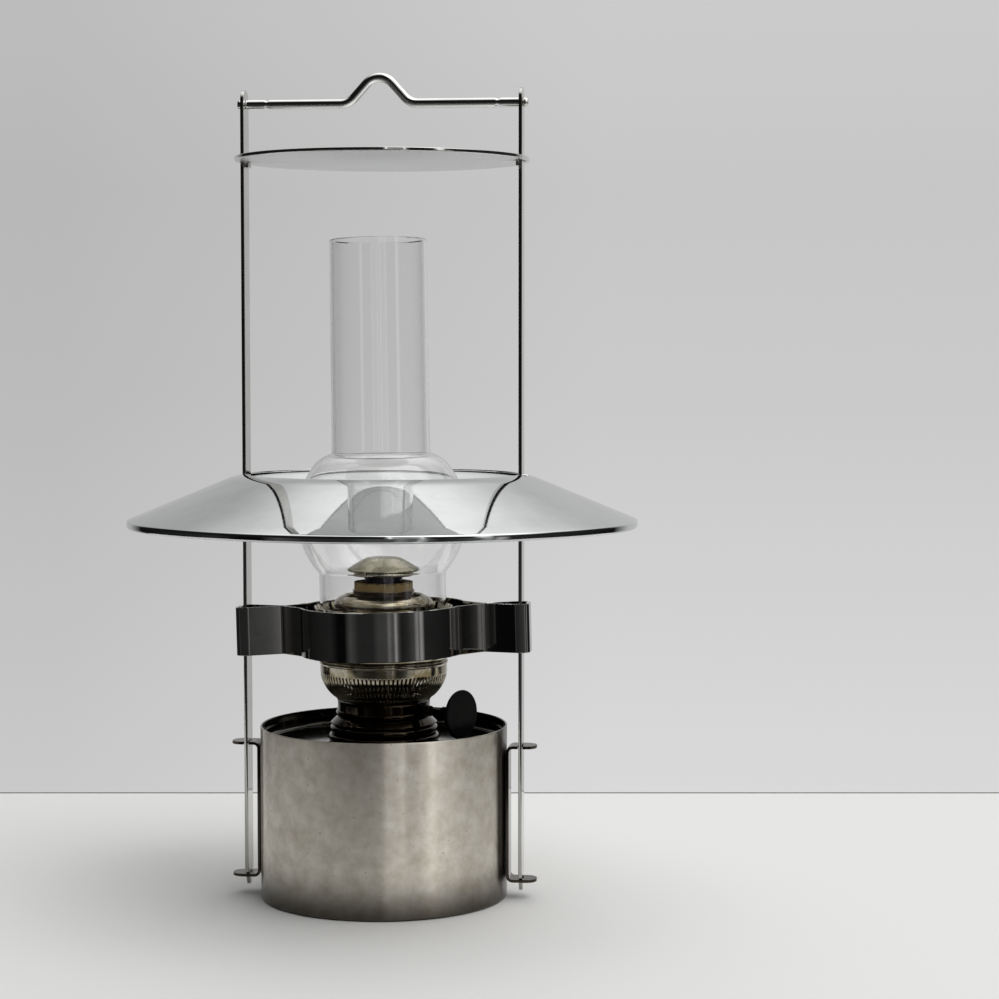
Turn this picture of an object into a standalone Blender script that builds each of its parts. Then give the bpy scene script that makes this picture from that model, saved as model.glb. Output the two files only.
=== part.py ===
"""Ship lamp: a sheet-metal oil lamp with a round-wick burner, carried between two flat uprights.

The tank stands on the table. Two strip uprights hook into brackets on its sides and carry a
sliding guard band, a mirror shade, a smoke disc and, at the top, a humped tube to hang the lamp by.
The burner screws into the tank and holds the glass chimney. All sizes are metres, +Z is up, the
origin is the middle of the tank's underside, the uprights stand at +X and -X, and -Y is the front.
"""
import math

import bmesh
import bpy
from mathutils import Matrix, Vector

MM = 0.001

# Fits
SEAT_GAP = 0.3 * MM            # between pieces that rest on or are soldered to each other
RUNNING_GAP = 0.3 * MM         # around a shaft or a sliding sleeve
LOOSE_PLAY = 0.5 * MM          # around a strip that a loose piece slides along
CUT_MARGIN = 1.0 * MM          # how far a cutter runs past the face it opens
WELD_DISTANCE = 0.01 * MM

# Roundness of the turned pieces, in steps a turn
LARGE_STEPS = 48
BURNER_STEPS = 32
SMALL_STEPS = 16
BEND_STEPS = 4

# Tank
TANK_RADIUS = 63.5 * MM
TANK_HEIGHT = 88.8 * MM
TANK_WALL = 1.0 * MM
TANK_CORNER = 1.6 * MM
TOP_RECESS = 8.3 * MM
TOP_SHEET = 0.8 * MM
TOP_LIP = 4.6 * MM
TOP_FILLET = 2.4 * MM

# Screw collar soldered in the tank's top
COLLAR_STEP = 0.6 * MM
COLLAR_WALL = 1.6 * MM
COLLAR_DEPTH = 5.0 * MM
COLLAR_BEAD_OVERHANG = 2.8 * MM
COLLAR_BEAD_HEIGHT = 3.8 * MM

# Uprights and the brackets that they hook into
STRIP_WIDTH = 13.0 * MM
STRIP_THICKNESS = 1.8 * MM
UPRIGHT_STANDOFF = 7.6 * MM
UPRIGHT_END = 7.4 * MM
TONGUE_WIDTH = 6.6 * MM
TONGUE_TIP_WIDTH = 3.2 * MM
TONGUE_LENGTH = 6.4 * MM
FOOT_BEVEL = 0.5 * MM
BRACKET_THICKNESS = 1.5 * MM
BRACKET_BEND = 2.6 * MM
BRACKET_DEPTH = 15.5 * MM
BRACKET_CORNER = 5.5 * MM
LOWER_FLANGE_TOP = 10.2 * MM
UPPER_FLANGE_DROP = 9.6 * MM
LUG_WIDTH = 7.0 * MM
LUG_HEIGHT = 2.4 * MM
LUG_REACH = 1.7 * MM

# Hanger tube with its end pins
HANGER_RISE = 28.5 * MM
TUBE_RADIUS = 2.5 * MM
HUMP_HEIGHT = 13.1 * MM
HUMP_SLOPE = math.radians(48.0)
HUMP_OFFSET = -1.2 * MM
HUMP_CROWN_BEND = 9.0 * MM
HUMP_FOOT_BEND = 9.0 * MM
CRIMP_INSET = 11.0 * MM
CRIMP_RADIUS = 1.6 * MM
CRIMP_DEPTH = 0.6 * MM
PIN_RADIUS = 1.6 * MM
PIN_REACH = 15.0 * MM
PIN_HEAD_RADIUS = 2.2 * MM
PIN_HEAD_FACE = 1.1 * MM
PIN_HEAD_LENGTH = 2.4 * MM
PIN_HEAD_EDGE = 0.8 * MM
PIN_HEAD_BULGE = 0.3 * MM

# Smoke disc
DISC_OVERHANG = 4.0 * MM
DISC_SHEET = 0.8 * MM
DISC_RISE = 39.85 * MM
DISC_LIP = 1.5 * MM
DISC_LIP_BEND = 0.8 * MM

# Shade
SHADE_RIM_RADIUS = 128.2 * MM
SHADE_RIM_RISE = 68.65 * MM
SHADE_BEAD_RADIUS = 2.2 * MM
SHADE_BEAD_STARTS_AT = 68
SHADE_BEAD_ENDS_AT = -190
SHADE_OPENING_INSET = 0.8 * MM
SHADE_RISE = 24.4 * MM
SHADE_CREST_WIDTH = 5.7 * MM
SHADE_CREST_DROP = 0.9 * MM
SHADE_CREST_BEND = 40.0 * MM
SHADE_HEM_WIDTH = 3.2 * MM
SHADE_HEM_RISE = 3.3 * MM
SHADE_SHEET = 0.8 * MM
SHADE_TILT = math.radians(0.6)

# Guard band
BAND_HEIGHT = 25.0 * MM
BAND_RISE = 1.45 * MM
BAND_SHEET = 0.9 * MM
BAND_SPACE = 9.9 * MM
BAND_NECK_REACH = 10.0 * MM
BAND_LEAVES_AT = math.radians(18.0)
BAND_NECK_BEND = 2.2 * MM
BAND_EAR_BEND = 2.4 * MM
BAND_EAR_SPACE = 1.6 * MM
BAND_LAP = 4.0 * MM
BAND_TILT = math.radians(1.35)

# Burner base, screwed into the collar
NECK_WALL = 1.9 * MM
NECK_LENGTH = 8.4 * MM
DECK_LEVEL = 3.0 * MM
DECK_SHEET = 0.8 * MM
BASE_BEAD_OVERHANG = 4.1 * MM
BASE_RIM_OVERHANG = 3.5 * MM
BASE_HEIGHT = 8.6 * MM
BASE_BEAD_ROUND = 2.1 * MM
BASE_BEAD_STARTS_AT = 60
BASE_RIM_LEVEL = 5.3 * MM
BASE_GROOVE = 0.9 * MM

# Burner body with the spindle in its side
BODY_RADIUS = 23.8 * MM
BODY_SHEET = 0.8 * MM
BODY_HEIGHT = 7.9 * MM
BODY_BEAD = 0.8 * MM
BODY_BEAD_HEIGHT = 2.6 * MM

# Slotted air basket
BASKET_FOOT_FLARE = 0.6 * MM
BASKET_INSET = 0.2 * MM
BASKET_HEIGHT = 21.0 * MM
BASKET_FOOT_HEIGHT = 0.9 * MM
BASKET_SLOT_TOP = 14.2 * MM
BASKET_BULGE = 1.5 * MM
BASKET_SHEET = 0.7 * MM
BASKET_SLOTS = 64
BASKET_SLOT_SHARE = 0.48
BASKET_SLOT_ROWS = 2

# Gallery with the spring prongs that hold the chimney
GALLERY_INNER_RADIUS = 21.0 * MM
GALLERY_SHEET = 0.6 * MM
GALLERY_COLLAR = 2.4 * MM
PRONG_COUNT = 16
PRONG_SHARE = 0.78
PRONG_HEIGHT = 26.0 * MM
PRONG_FLARE = 2.0 * MM
PRONG_BEND_SHARE = 0.35
PRONG_TIP = 4.0 * MM
PRONG_FIT = 0.5 * MM

# Flame deflector: the rounded ring inside the chimney's foot
DEFLECTOR_FOOT_SPACE = 3.7 * MM
DEFLECTOR_FLANGE = 3.2 * MM
DEFLECTOR_SHEET = 0.6 * MM
DEFLECTOR_BULGE = 1.6 * MM
DEFLECTOR_AIR_GAP = 3.7 * MM
DEFLECTOR_HEIGHT = 30.6 * MM
DEFLECTOR_CREASE = 24.4 * MM
DEFLECTOR_DIP = 1.3 * MM
DEFLECTOR_SIDE_SHARE = 0.3
DEFLECTOR_SHOULDER_BULGE = 0.4 * MM

# Wick, its two tubes and the air chute between them
WICK_INNER_RADIUS = 13.5 * MM
WICK_THICKNESS = 1.5 * MM
WICK_TUBE_SHEET = 0.6 * MM
WICK_TUBE_RISE = 34.15 * MM
WICK_SHOWING = 4.2 * MM
WICK_END_CLEARANCE = 13.0 * MM
AIR_TUBE_SUMP = 2.6 * MM
AIR_TUBE_STEP = 0.9 * MM
CHUTE_WIDTH = 11.0 * MM
CHUTE_HEIGHT = 10.0 * MM
CHUTE_RISE = 1.9 * MM
CHUTE_SHEET = 0.7 * MM
CHUTE_PROUD = 0.8 * MM
WICK_RISE = 2.6 * MM
WICK_FALL = 7.0 * MM

# Rack and pinion that raise the wick
SPINDLE_RISE = 4.4 * MM
SPINDLE_AZIMUTH = math.radians(-31.0)
SPINDLE_RADIUS = 1.5 * MM
PINION_TEETH = 10
PITCH_RADIUS = 3.6 * MM
TOOTH_HEIGHT = 1.3 * MM
TOOTH_SHARE = 0.4
TOOTH_TIP_SHARE = 0.18
PINION_ROOT_SHARE = 0.32
TOOTH_ROOT_GAP = 0.25 * MM
PINION_WIDTH = 3.0 * MM
PINION_STANDOFF = 1.4 * MM
RACK_WIDTH = 2.0 * MM
RACK_BACK = 1.8 * MM
RACK_TEETH = 7
RACK_END_SHARE = 0.25
CARRIER_HEIGHT = 5.0 * MM
CARRIER_DROP = 8.2 * MM
CARRIER_SHEET = 0.5 * MM
ARM_WIDTH = 1.6 * MM
ARM_HEIGHT = 3.0 * MM
BUSH_RADIUS = 2.7 * MM
BUSH_LENGTH = 9.6 * MM
BUSH_INSET = 1.5 * MM

# Winder knob
KNOB_RADIUS = 12.4 * MM
KNOB_REACH = 27.0 * MM
KNOB_EDGE = 1.7 * MM
KNOB_DOME = 1.3 * MM
KNOB_DOME_BULGE = 0.3 * MM
KNOB_HUB_RADIUS = 2.9 * MM
KNOB_HUB_ROOT = 6.0 * MM
KNOB_HUB_LENGTH = 10.5 * MM
KNOB_SOCKET = 10.0 * MM

# Flame disc on its perforated stem
STEM_STEP = 2.9 * MM
STEM_SHEET = 0.5 * MM
STEM_FLANGE = 0.7 * MM
STEM_DEPTH = 16.0 * MM
STEM_FOOT = 3.0 * MM
STEM_HOLES = 12
STEM_HOLE_WIDTH = 1.8 * MM
STEM_HOLE_RISE = 4.8 * MM
STEM_HOLE_HEIGHT = 1.6 * MM
FLAME_DISC_OVERHANG = 3.6 * MM
FLAME_DISC_RISE = 10.4 * MM
FLAME_DISC_HEIGHT = 6.2 * MM
FLAME_DISC_CROWN = 8.8 * MM
FLAME_DISC_DISH_INSET = 0.3 * MM
FLAME_DISC_DISH_DEPTH = 2.9 * MM
FLAME_DISC_SHEET = 0.7 * MM
FLAME_DISC_BULGE = 1.1 * MM
STEM_OVERLAP = 1.2 * MM

# Glass chimney
GLASS_WALL = 1.8 * MM
CHIMNEY_BASE_RADIUS = 32.5 * MM
GLOBE_RADIUS = 43.5 * MM
GLOBE_HEIGHT = 70.5 * MM
SHOULDER_RADIUS = 34.7 * MM
SHOULDER_SAG = 0.9 * MM
FLUE_JOINT_RISE = 32.3 * MM
FLUE_RADIUS = 25.2 * MM
FLUE_TOP_RADIUS = 24.9 * MM
CHIMNEY_HEIGHT = 212.4 * MM
CHIMNEY_LEAN_LEFT = math.radians(0.9)
CHIMNEY_LEAN_BACK = math.radians(1.7)


def remove_old_objects():
    for old in list(bpy.data.objects):
        bpy.data.objects.remove(old, do_unlink=True)


def new_collection(name):
    made = bpy.data.collections.new(name)
    bpy.context.scene.collection.children.link(made)
    return made


def new_material(name, colour, roughness, metallic, transmission=0.0):
    made = bpy.data.materials.new(name)
    made.use_nodes = True
    shader = made.node_tree.nodes["Principled BSDF"]
    shader.inputs["Base Color"].default_value = (*colour, 1.0)
    shader.inputs["Roughness"].default_value = roughness
    shader.inputs["Metallic"].default_value = metallic
    shader.inputs["Transmission Weight"].default_value = transmission
    made.diffuse_color = (*colour, 1.0)
    return made


def add_piece(name, mesh, material):
    piece = bpy.data.objects.new(name, mesh)
    piece.data.materials.append(material)
    parts.objects.link(piece)
    return piece


def add_cutter(name, mesh):
    cutter = bpy.data.objects.new(name, mesh)
    cutter.hide_render = True
    cutter.display_type = "WIRE"
    cutters.objects.link(cutter)
    return cutter


def combine(piece, tool, operation):
    """Cuts, joins or intersects a piece with a tool shape."""
    modifier = piece.modifiers.new(tool.name, "BOOLEAN")
    modifier.operation = operation
    modifier.solver = "EXACT"
    modifier.object = tool


def arc(centre, radius, start, end, steps):
    """Points along an arc, with angles in degrees from the first axis of the pair."""
    points = []
    for step in range(steps + 1):
        angle = math.radians(start + (end - start) * step / steps)
        points.append((centre[0] + radius * math.cos(angle), centre[1] + radius * math.sin(angle)))
    return points


def bulged(start, end, bulge, steps):
    """Points of the arc from start to end that stands off its chord by the bulge, to its left."""
    chord = Vector((end[0] - start[0], end[1] - start[1]))
    half = chord.length / 2
    radius = (half * half + bulge * bulge) / (2 * abs(bulge))
    side = math.copysign(1.0, bulge)
    left = Vector((-chord.y, chord.x)).normalized() * side
    centre = Vector(start) + chord / 2 + left * (abs(bulge) - radius)
    first = Vector(start) - centre
    sweep = -side * 2 * math.asin(half / radius)
    points = []
    for step in range(steps + 1):
        turned_arm = Matrix.Rotation(sweep * step / steps, 2) @ first
        points.append(tuple(centre + turned_arm))
    return points


def rounded(corners, radii, steps=BEND_STEPS):
    """A path through the corners, with each inner corner turned on its own bend radius."""
    path = [tuple(corners[0])]
    for index in range(1, len(corners) - 1):
        corner = Vector(corners[index])
        back = (Vector(corners[index - 1]) - corner).normalized()
        ahead = (Vector(corners[index + 1]) - corner).normalized()
        half_angle = back.angle(ahead) / 2
        reach = radii[index - 1] / math.tan(half_angle)
        centre = corner + (back + ahead).normalized() * (radii[index - 1] / math.sin(half_angle))
        first = corner + back * reach - centre
        last = corner + ahead * reach - centre
        sweep = math.atan2(first.x * last.y - first.y * last.x, first.dot(last))
        for step in range(steps + 1):
            path.append(tuple(centre + Matrix.Rotation(-sweep * step / steps, 2).inverted() @ first))
    path.append(tuple(corners[-1]))
    return path


def outline_mesh(name, points, closed):
    count = len(points)
    edges = [(index, index + 1) for index in range(count - 1)]
    if closed:
        edges.append((count - 1, 0))
    mesh = bpy.data.meshes.new(name)
    mesh.from_pydata([(across, 0, up) for across, up in points], edges, [])
    return mesh


def turn(piece, steps):
    screw = piece.modifiers.new("Turn", "SCREW")
    screw.axis = "Z"
    screw.steps = steps
    screw.render_steps = steps
    screw.use_merge_vertices = True
    screw.merge_threshold = WELD_DISTANCE
    screw.use_smooth_shade = True


def turned(name, outline, material, steps, closed=True):
    """A solid of revolution. The outline runs down its outer side; an open one ends on the axis."""
    piece = add_piece(name, outline_mesh(name, outline, closed), material)
    turn(piece, steps)
    return piece


def thicken(piece, sheet):
    solidify = piece.modifiers.new("Sheet", "SOLIDIFY")
    solidify.thickness = sheet
    solidify.offset = 0.0
    solidify.use_even_offset = True
    solidify.use_quality_normals = True


def turned_sheet(name, path, sheet, material, steps):
    """A spun sheet whose middle follows the path."""
    piece = add_piece(name, outline_mesh(name, path, False), material)
    turn(piece, steps)
    thicken(piece, sheet)
    return piece


def swept_mesh(name, path, along):
    """The surface that a path makes when it is drawn out along a direction."""
    mesh = bpy.data.meshes.new(name)
    shape = bmesh.new()
    rail = [shape.verts.new(point) for point in path]
    edges = [shape.edges.new(pair) for pair in zip(rail, rail[1:])]
    drawn = bmesh.ops.extrude_edge_only(shape, edges=edges)
    moved = [item for item in drawn["geom"] if isinstance(item, bmesh.types.BMVert)]
    bmesh.ops.translate(shape, verts=moved, vec=along)
    bmesh.ops.recalc_face_normals(shape, faces=shape.faces)
    shape.to_mesh(mesh)
    shape.free()
    return mesh


def curve_mesh(name, curve, placement):
    """The closed mesh of a filled curve, moved to its place."""
    holder = bpy.data.objects.new(name, curve)
    bpy.context.scene.collection.objects.link(holder)
    bpy.context.view_layer.update()
    evaluated = holder.evaluated_get(bpy.context.evaluated_depsgraph_get())
    mesh = bpy.data.meshes.new_from_object(evaluated)
    bpy.data.objects.remove(holder)
    shape = bmesh.new()
    shape.from_mesh(mesh)
    bmesh.ops.remove_doubles(shape, verts=shape.verts, dist=WELD_DISTANCE)
    bmesh.ops.transform(shape, matrix=placement, verts=shape.verts)
    shape.to_mesh(mesh)
    shape.free()
    mesh.name = name
    return mesh


def plate_mesh(name, outlines, thickness, placement):
    """A flat plate from closed outlines: the first is its edge and the others are holes."""
    curve = bpy.data.curves.new(name, "CURVE")
    curve.dimensions = "2D"
    curve.fill_mode = "BOTH"
    curve.extrude = thickness / 2
    for outline in outlines:
        spline = curve.splines.new("POLY")
        spline.points.add(len(outline) - 1)
        for point, place in zip(spline.points, outline):
            point.co = (place[0], place[1], 0, 1)
        spline.use_cyclic_u = True
    return curve_mesh(name, curve, placement)


def box_mesh(name, corner, opposite):
    mesh = bpy.data.meshes.new(name)
    shape = bmesh.new()
    size = [abs(far - near) for near, far in zip(corner, opposite)]
    middle = (Vector(corner) + Vector(opposite)) / 2
    place = Matrix.Translation(middle) @ Matrix.Diagonal((*size, 1.0))
    bmesh.ops.create_cube(shape, size=1.0, matrix=place)
    shape.to_mesh(mesh)
    shape.free()
    return mesh


def rod_mesh(name, radius, start, end, steps=SMALL_STEPS):
    """A round rod between two points."""
    mesh = bpy.data.meshes.new(name)
    shape = bmesh.new()
    along = Vector(end) - Vector(start)
    middle = (Vector(end) + Vector(start)) / 2
    place = Matrix.Translation(middle) @ along.to_track_quat("Z", "Y").to_matrix().to_4x4()
    bmesh.ops.create_cone(shape, cap_ends=True, segments=steps, radius1=radius, radius2=radius,
                          depth=along.length, matrix=place)
    shape.to_mesh(mesh)
    shape.free()
    return mesh


# Heights and radii that follow from the sizes above
top_plate_level = TANK_HEIGHT - TOP_RECESS
upper_flange_top = TANK_HEIGHT - UPPER_FLANGE_DROP
collar_bore = BODY_RADIUS + COLLAR_STEP
collar_top = top_plate_level + SEAT_GAP + COLLAR_BEAD_HEIGHT
base_foot = collar_top + SEAT_GAP
base_top = base_foot + BASE_HEIGHT
neck_radius = collar_bore - RUNNING_GAP
neck_bottom = base_foot - NECK_LENGTH
deck_top = neck_bottom + DECK_LEVEL + DECK_SHEET
body_bottom = base_top + SEAT_GAP
body_top = body_bottom + BODY_HEIGHT
spindle_height = body_bottom + SPINDLE_RISE
carrier_bottom = spindle_height - CARRIER_DROP
chute_bottom = body_top + CHUTE_RISE
air_tube_bottom = chute_bottom - AIR_TUBE_SUMP
basket_radius = CHIMNEY_BASE_RADIUS - BASKET_INSET
basket_bottom = body_top + SEAT_GAP + BASKET_SHEET / 2
basket_top = basket_bottom + BASKET_HEIGHT
gallery_floor = basket_top + SEAT_GAP + GALLERY_SHEET / 2
floor_top = gallery_floor + GALLERY_SHEET / 2
prong_radius = CHIMNEY_BASE_RADIUS + PRONG_FIT + GALLERY_SHEET / 2
chimney_foot = floor_top + SEAT_GAP
wick_radius = WICK_INNER_RADIUS + WICK_THICKNESS
wick_tube_top = floor_top + WICK_TUBE_RISE
wick_top = wick_tube_top + WICK_SHOWING
wick_bottom = TANK_WALL + WICK_END_CLEARANCE
outer_tube_bore = wick_radius + RUNNING_GAP
outer_tube_radius = outer_tube_bore + WICK_TUBE_SHEET
air_tube_radius = WICK_INNER_RADIUS - RUNNING_GAP
air_tube_bore = air_tube_radius - WICK_TUBE_SHEET
air_tube_top = wick_tube_top - AIR_TUBE_STEP
deflector_foot_radius = CHIMNEY_BASE_RADIUS - GLASS_WALL - DEFLECTOR_FOOT_SPACE
deflector_wall_radius = deflector_foot_radius - DEFLECTOR_FLANGE
deflector_opening = outer_tube_radius + DEFLECTOR_AIR_GAP
knob_place = BODY_RADIUS + KNOB_REACH
stem_radius = air_tube_bore - STEM_STEP
flame_disc_radius = wick_radius + FLAME_DISC_OVERHANG
flame_disc_rim = wick_tube_top + FLAME_DISC_RISE
flue_joint_height = GLOBE_HEIGHT + FLUE_JOINT_RISE
shade_rim_height = chimney_foot + SHADE_RIM_RISE
disc_underside = chimney_foot + CHIMNEY_HEIGHT + DISC_RISE
hanger_height = disc_underside + DISC_SHEET + HANGER_RISE
upright_top = hanger_height + UPRIGHT_END
bracket_face = TANK_RADIUS + SEAT_GAP
bracket_reach = bracket_face + BRACKET_DEPTH
upright_centre = TANK_RADIUS + UPRIGHT_STANDOFF
disc_radius = upright_centre + DISC_OVERHANG
shade_opening = upright_centre - SHADE_OPENING_INSET
band_radius = CHIMNEY_BASE_RADIUS + BAND_SPACE
strip_inner = upright_centre - STRIP_THICKNESS / 2
strip_outer = upright_centre + STRIP_THICKNESS / 2
tooth_pitch = 2 * math.pi * PITCH_RADIUS / PINION_TEETH


def shade_path():
    """The shade's middle line: a rounded crest at the opening, a straight cone, then the rim."""
    rim = (SHADE_RIM_RADIUS, shade_rim_height)
    opening = (shade_opening, shade_rim_height + SHADE_RISE)
    crest = (shade_opening + SHADE_CREST_WIDTH, opening[1] - SHADE_CREST_DROP)
    hem = (SHADE_RIM_RADIUS - SHADE_HEM_WIDTH, shade_rim_height + SHADE_HEM_RISE)
    return rounded([opening, crest, hem], [SHADE_CREST_BEND]) + [rim]


def shade_height_at(radius):
    """Height of the shade's middle line at a radius, between the points of its outline."""
    path = shade_path()
    for (near, high), (far, low) in zip(path, path[1:]):
        if near <= radius <= far:
            return high + (low - high) * (radius - near) / (far - near)
    return path[0][1]


def build_tank(steel):
    inner = TANK_RADIUS - TANK_WALL
    outline = [(0, TANK_WALL), (inner - TANK_CORNER, TANK_WALL), (inner, TANK_WALL + TANK_CORNER)]
    outline += [(inner, TANK_HEIGHT), (TANK_RADIUS, TANK_HEIGHT)]
    outline += arc((TANK_RADIUS - TANK_CORNER, TANK_CORNER), TANK_CORNER, 0, -90, 2)
    outline += [(0, 0)]
    turned("tank_shell", outline, steel, LARGE_STEPS, closed=False)

    edge = inner - SEAT_GAP - TOP_SHEET / 2
    level = top_plate_level - TOP_SHEET / 2
    hole = collar_bore + COLLAR_WALL + SEAT_GAP
    corners = [(edge, level + TOP_LIP), (edge, level), (hole, level)]
    turned_sheet("tank_top", rounded(corners, [TOP_FILLET], 2), TOP_SHEET, steel, LARGE_STEPS)


def build_collar(brass):
    outer = collar_bore + COLLAR_WALL
    under = top_plate_level + SEAT_GAP
    bead = COLLAR_BEAD_HEIGHT / 2
    centre = (outer + COLLAR_BEAD_OVERHANG - bead, under + bead)
    outline = [(collar_bore, collar_top)] + arc(centre, bead, 90, -90, 3)
    outline += [(outer, under), (outer, under - COLLAR_DEPTH), (collar_bore, under - COLLAR_DEPTH)]
    turned("tank_collar", outline, brass, BURNER_STEPS)


def build_bracket(name, side, steel):
    """A strip bent to a C. Its upper flange is notched from the front, its lower one has a slot."""
    plate = side * (bracket_face + BRACKET_THICKNESS / 2)
    reach = side * bracket_reach
    low = LOWER_FLANGE_TOP - BRACKET_THICKNESS / 2
    high = upper_flange_top - BRACKET_THICKNESS / 2
    corners = [(reach, high), (plate, high), (plate, low), (reach, low)]
    front = -STRIP_WIDTH / 2
    path = [(across, front, up) for across, up in rounded(corners, [BRACKET_BEND] * 2)]
    piece = add_piece(name, swept_mesh(name, path, Vector((0, STRIP_WIDTH, 0))), steel)
    thicken(piece, BRACKET_THICKNESS)

    near = side * TANK_RADIUS
    edge = STRIP_WIDTH / 2
    corners = [(near, -edge), (reach, -edge), (reach, edge), (near, edge)]
    plan = rounded(corners, [BRACKET_CORNER] * 2)
    height = upper_flange_top + CUT_MARGIN
    rounding = plate_mesh(name + "_plan", [plan], height * 2, Matrix.Identity(4))
    combine(piece, add_cutter(name + "_plan", rounding), "INTERSECT")

    middle = side * upright_centre
    half_slot = STRIP_THICKNESS / 2 + SEAT_GAP
    half_tongue = TONGUE_WIDTH / 2 + SEAT_GAP
    slot = box_mesh(name + "_slot", (middle - half_slot, -half_tongue, low - BRACKET_THICKNESS),
                    (middle + half_slot, half_tongue, low + BRACKET_THICKNESS))
    combine(piece, add_cutter(name + "_slot", slot), "DIFFERENCE")
    notch = box_mesh(name + "_notch", (middle - half_slot, front - CUT_MARGIN, high - BRACKET_THICKNESS),
                     (middle + half_slot, SEAT_GAP / 2, high + BRACKET_THICKNESS))
    combine(piece, add_cutter(name + "_notch", notch), "DIFFERENCE")


def build_upright(name, side, steel):
    """A flat strip with a rounded top, a tongue at its foot and a hook notch in its rear edge."""
    half = STRIP_WIDTH / 2
    foot = LOWER_FLANGE_TOP + SEAT_GAP
    tip = foot - TONGUE_LENGTH
    tongue = TONGUE_WIDTH / 2
    tip_half = TONGUE_TIP_WIDTH / 2
    root = foot - BRACKET_THICKNESS - 2 * SEAT_GAP
    notch_low = upper_flange_top - BRACKET_THICKNESS - SEAT_GAP
    notch_high = upper_flange_top + SEAT_GAP
    rear = -SEAT_GAP / 2
    outline = [(-half, foot + FOOT_BEVEL), (-tongue, foot), (-tongue, root), (-tip_half, tip)]
    outline += [(tip_half, tip), (tongue, root), (tongue, foot), (half, foot + FOOT_BEVEL)]
    outline += [(half, notch_low), (-rear, notch_low), (-rear, notch_high), (half, notch_high)]
    outline += arc((0, upright_top - half), half, 0, 180, 10)
    hole = arc((0, hanger_height), PIN_RADIUS + RUNNING_GAP, 0, 360, 12)[:-1]
    upright = Matrix(((0, 0, 1, side * upright_centre), (1, 0, 0, 0), (0, 1, 0, 0), (0, 0, 0, 1)))
    piece = add_piece(name, plate_mesh(name, [outline, hole], STRIP_THICKNESS, upright), steel)

    lug_half = LUG_WIDTH / 2
    root_depth = STRIP_THICKNESS / 2
    disc_seat = disc_underside - SEAT_GAP
    inner_face = upright_centre - root_depth
    disc_lug = box_mesh(name + "_disc_lug",
                        sided(side, inner_face - LUG_REACH, -lug_half, disc_seat - LUG_HEIGHT),
                        sided(side, upright_centre, lug_half, disc_seat))
    combine(piece, add_cutter(name + "_disc_lug", disc_lug), "UNION")
    outer_face = upright_centre + root_depth
    shade_seat = shade_height_at(outer_face + LUG_REACH) - SHADE_SHEET / 2 - SEAT_GAP
    shade_lug = box_mesh(name + "_shade_lug",
                         sided(side, upright_centre, -lug_half, shade_seat - LUG_HEIGHT),
                         sided(side, outer_face + LUG_REACH, lug_half, shade_seat))
    combine(piece, add_cutter(name + "_shade_lug", shade_lug), "UNION")


def sided(side, across, deep, up):
    """A point on the right of the lamp, or its mirror image on the left."""
    return (side * across, deep, up)


def build_hanger(steel, bright):
    """A tube with a hump in its middle. It is bored and crimped at both ends for its pins."""
    end = strip_inner - RUNNING_GAP
    apex = HUMP_HEIGHT + HUMP_CROWN_BEND * (1 / math.cos(HUMP_SLOPE) - 1)
    knee = apex / math.tan(HUMP_SLOPE)
    corners = [(-end, 0), (HUMP_OFFSET - knee, 0), (HUMP_OFFSET, apex)]
    corners += [(HUMP_OFFSET + knee, 0), (end, 0)]
    route = rounded(corners, [HUMP_FOOT_BEND, HUMP_CROWN_BEND, HUMP_FOOT_BEND], 6)
    curve = bpy.data.curves.new("hanger_tube", "CURVE")
    curve.dimensions = "3D"
    curve.bevel_depth = TUBE_RADIUS
    curve.bevel_resolution = 4
    curve.use_fill_caps = True
    spline = curve.splines.new("POLY")
    spline.points.add(len(route) - 1)
    for point, (across, up) in zip(spline.points, route):
        point.co = (across, 0, up, 1)
    axis = bpy.data.objects.new("hanger_axis", None)
    axis.location = (0, 0, hanger_height)
    parts.objects.link(axis)
    tube = add_piece("hanger_tube", curve_mesh("hanger_tube", curve, Matrix.Identity(4)), steel)
    tube.parent = axis

    for name, side in (("left", -1), ("right", 1)):
        bore = rod_mesh("hanger_bore_" + name, PIN_RADIUS + SEAT_GAP,
                        (side * (end + CUT_MARGIN), 0, 0), (side * (end - PIN_REACH - SEAT_GAP), 0, 0))
        add_axis_cutter(tube, bore, axis, "DIFFERENCE")
        place = side * (strip_inner - CRIMP_INSET)
        for level in (-1, 1):
            up = level * (TUBE_RADIUS + CRIMP_RADIUS - CRIMP_DEPTH)
            dent = rod_mesh("hanger_crimp_" + name + ("_low" if level < 0 else "_high"), CRIMP_RADIUS,
                            (place, -TUBE_RADIUS - CUT_MARGIN, up), (place, TUBE_RADIUS + CUT_MARGIN, up))
            add_axis_cutter(tube, dent, axis, "DIFFERENCE")
        build_hanger_pin("hanger_pin_" + name, side, end, axis, bright)


def add_axis_cutter(piece, mesh, axis, operation):
    cutter = add_cutter(mesh.name, mesh)
    cutter.parent = axis
    combine(piece, cutter, operation)


def build_hanger_pin(name, side, tube_end, axis, bright):
    """A pin with a domed head outside the upright; its shank sits in the tube's bored end."""
    head = strip_outer + RUNNING_GAP
    outline = [(0, head + PIN_HEAD_LENGTH)]
    outline += bulged((PIN_HEAD_FACE, head + PIN_HEAD_LENGTH), (PIN_HEAD_RADIUS, head + PIN_HEAD_EDGE),
                      PIN_HEAD_BULGE, 2)
    outline += [(PIN_HEAD_RADIUS, head), (PIN_RADIUS, head), (PIN_RADIUS, tube_end - PIN_REACH)]
    outline += [(0, tube_end - PIN_REACH)]
    pin = turned(name, outline, bright, SMALL_STEPS, closed=False)
    pin.parent = axis
    pin.rotation_euler = (0, side * math.pi / 2, 0)


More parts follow.
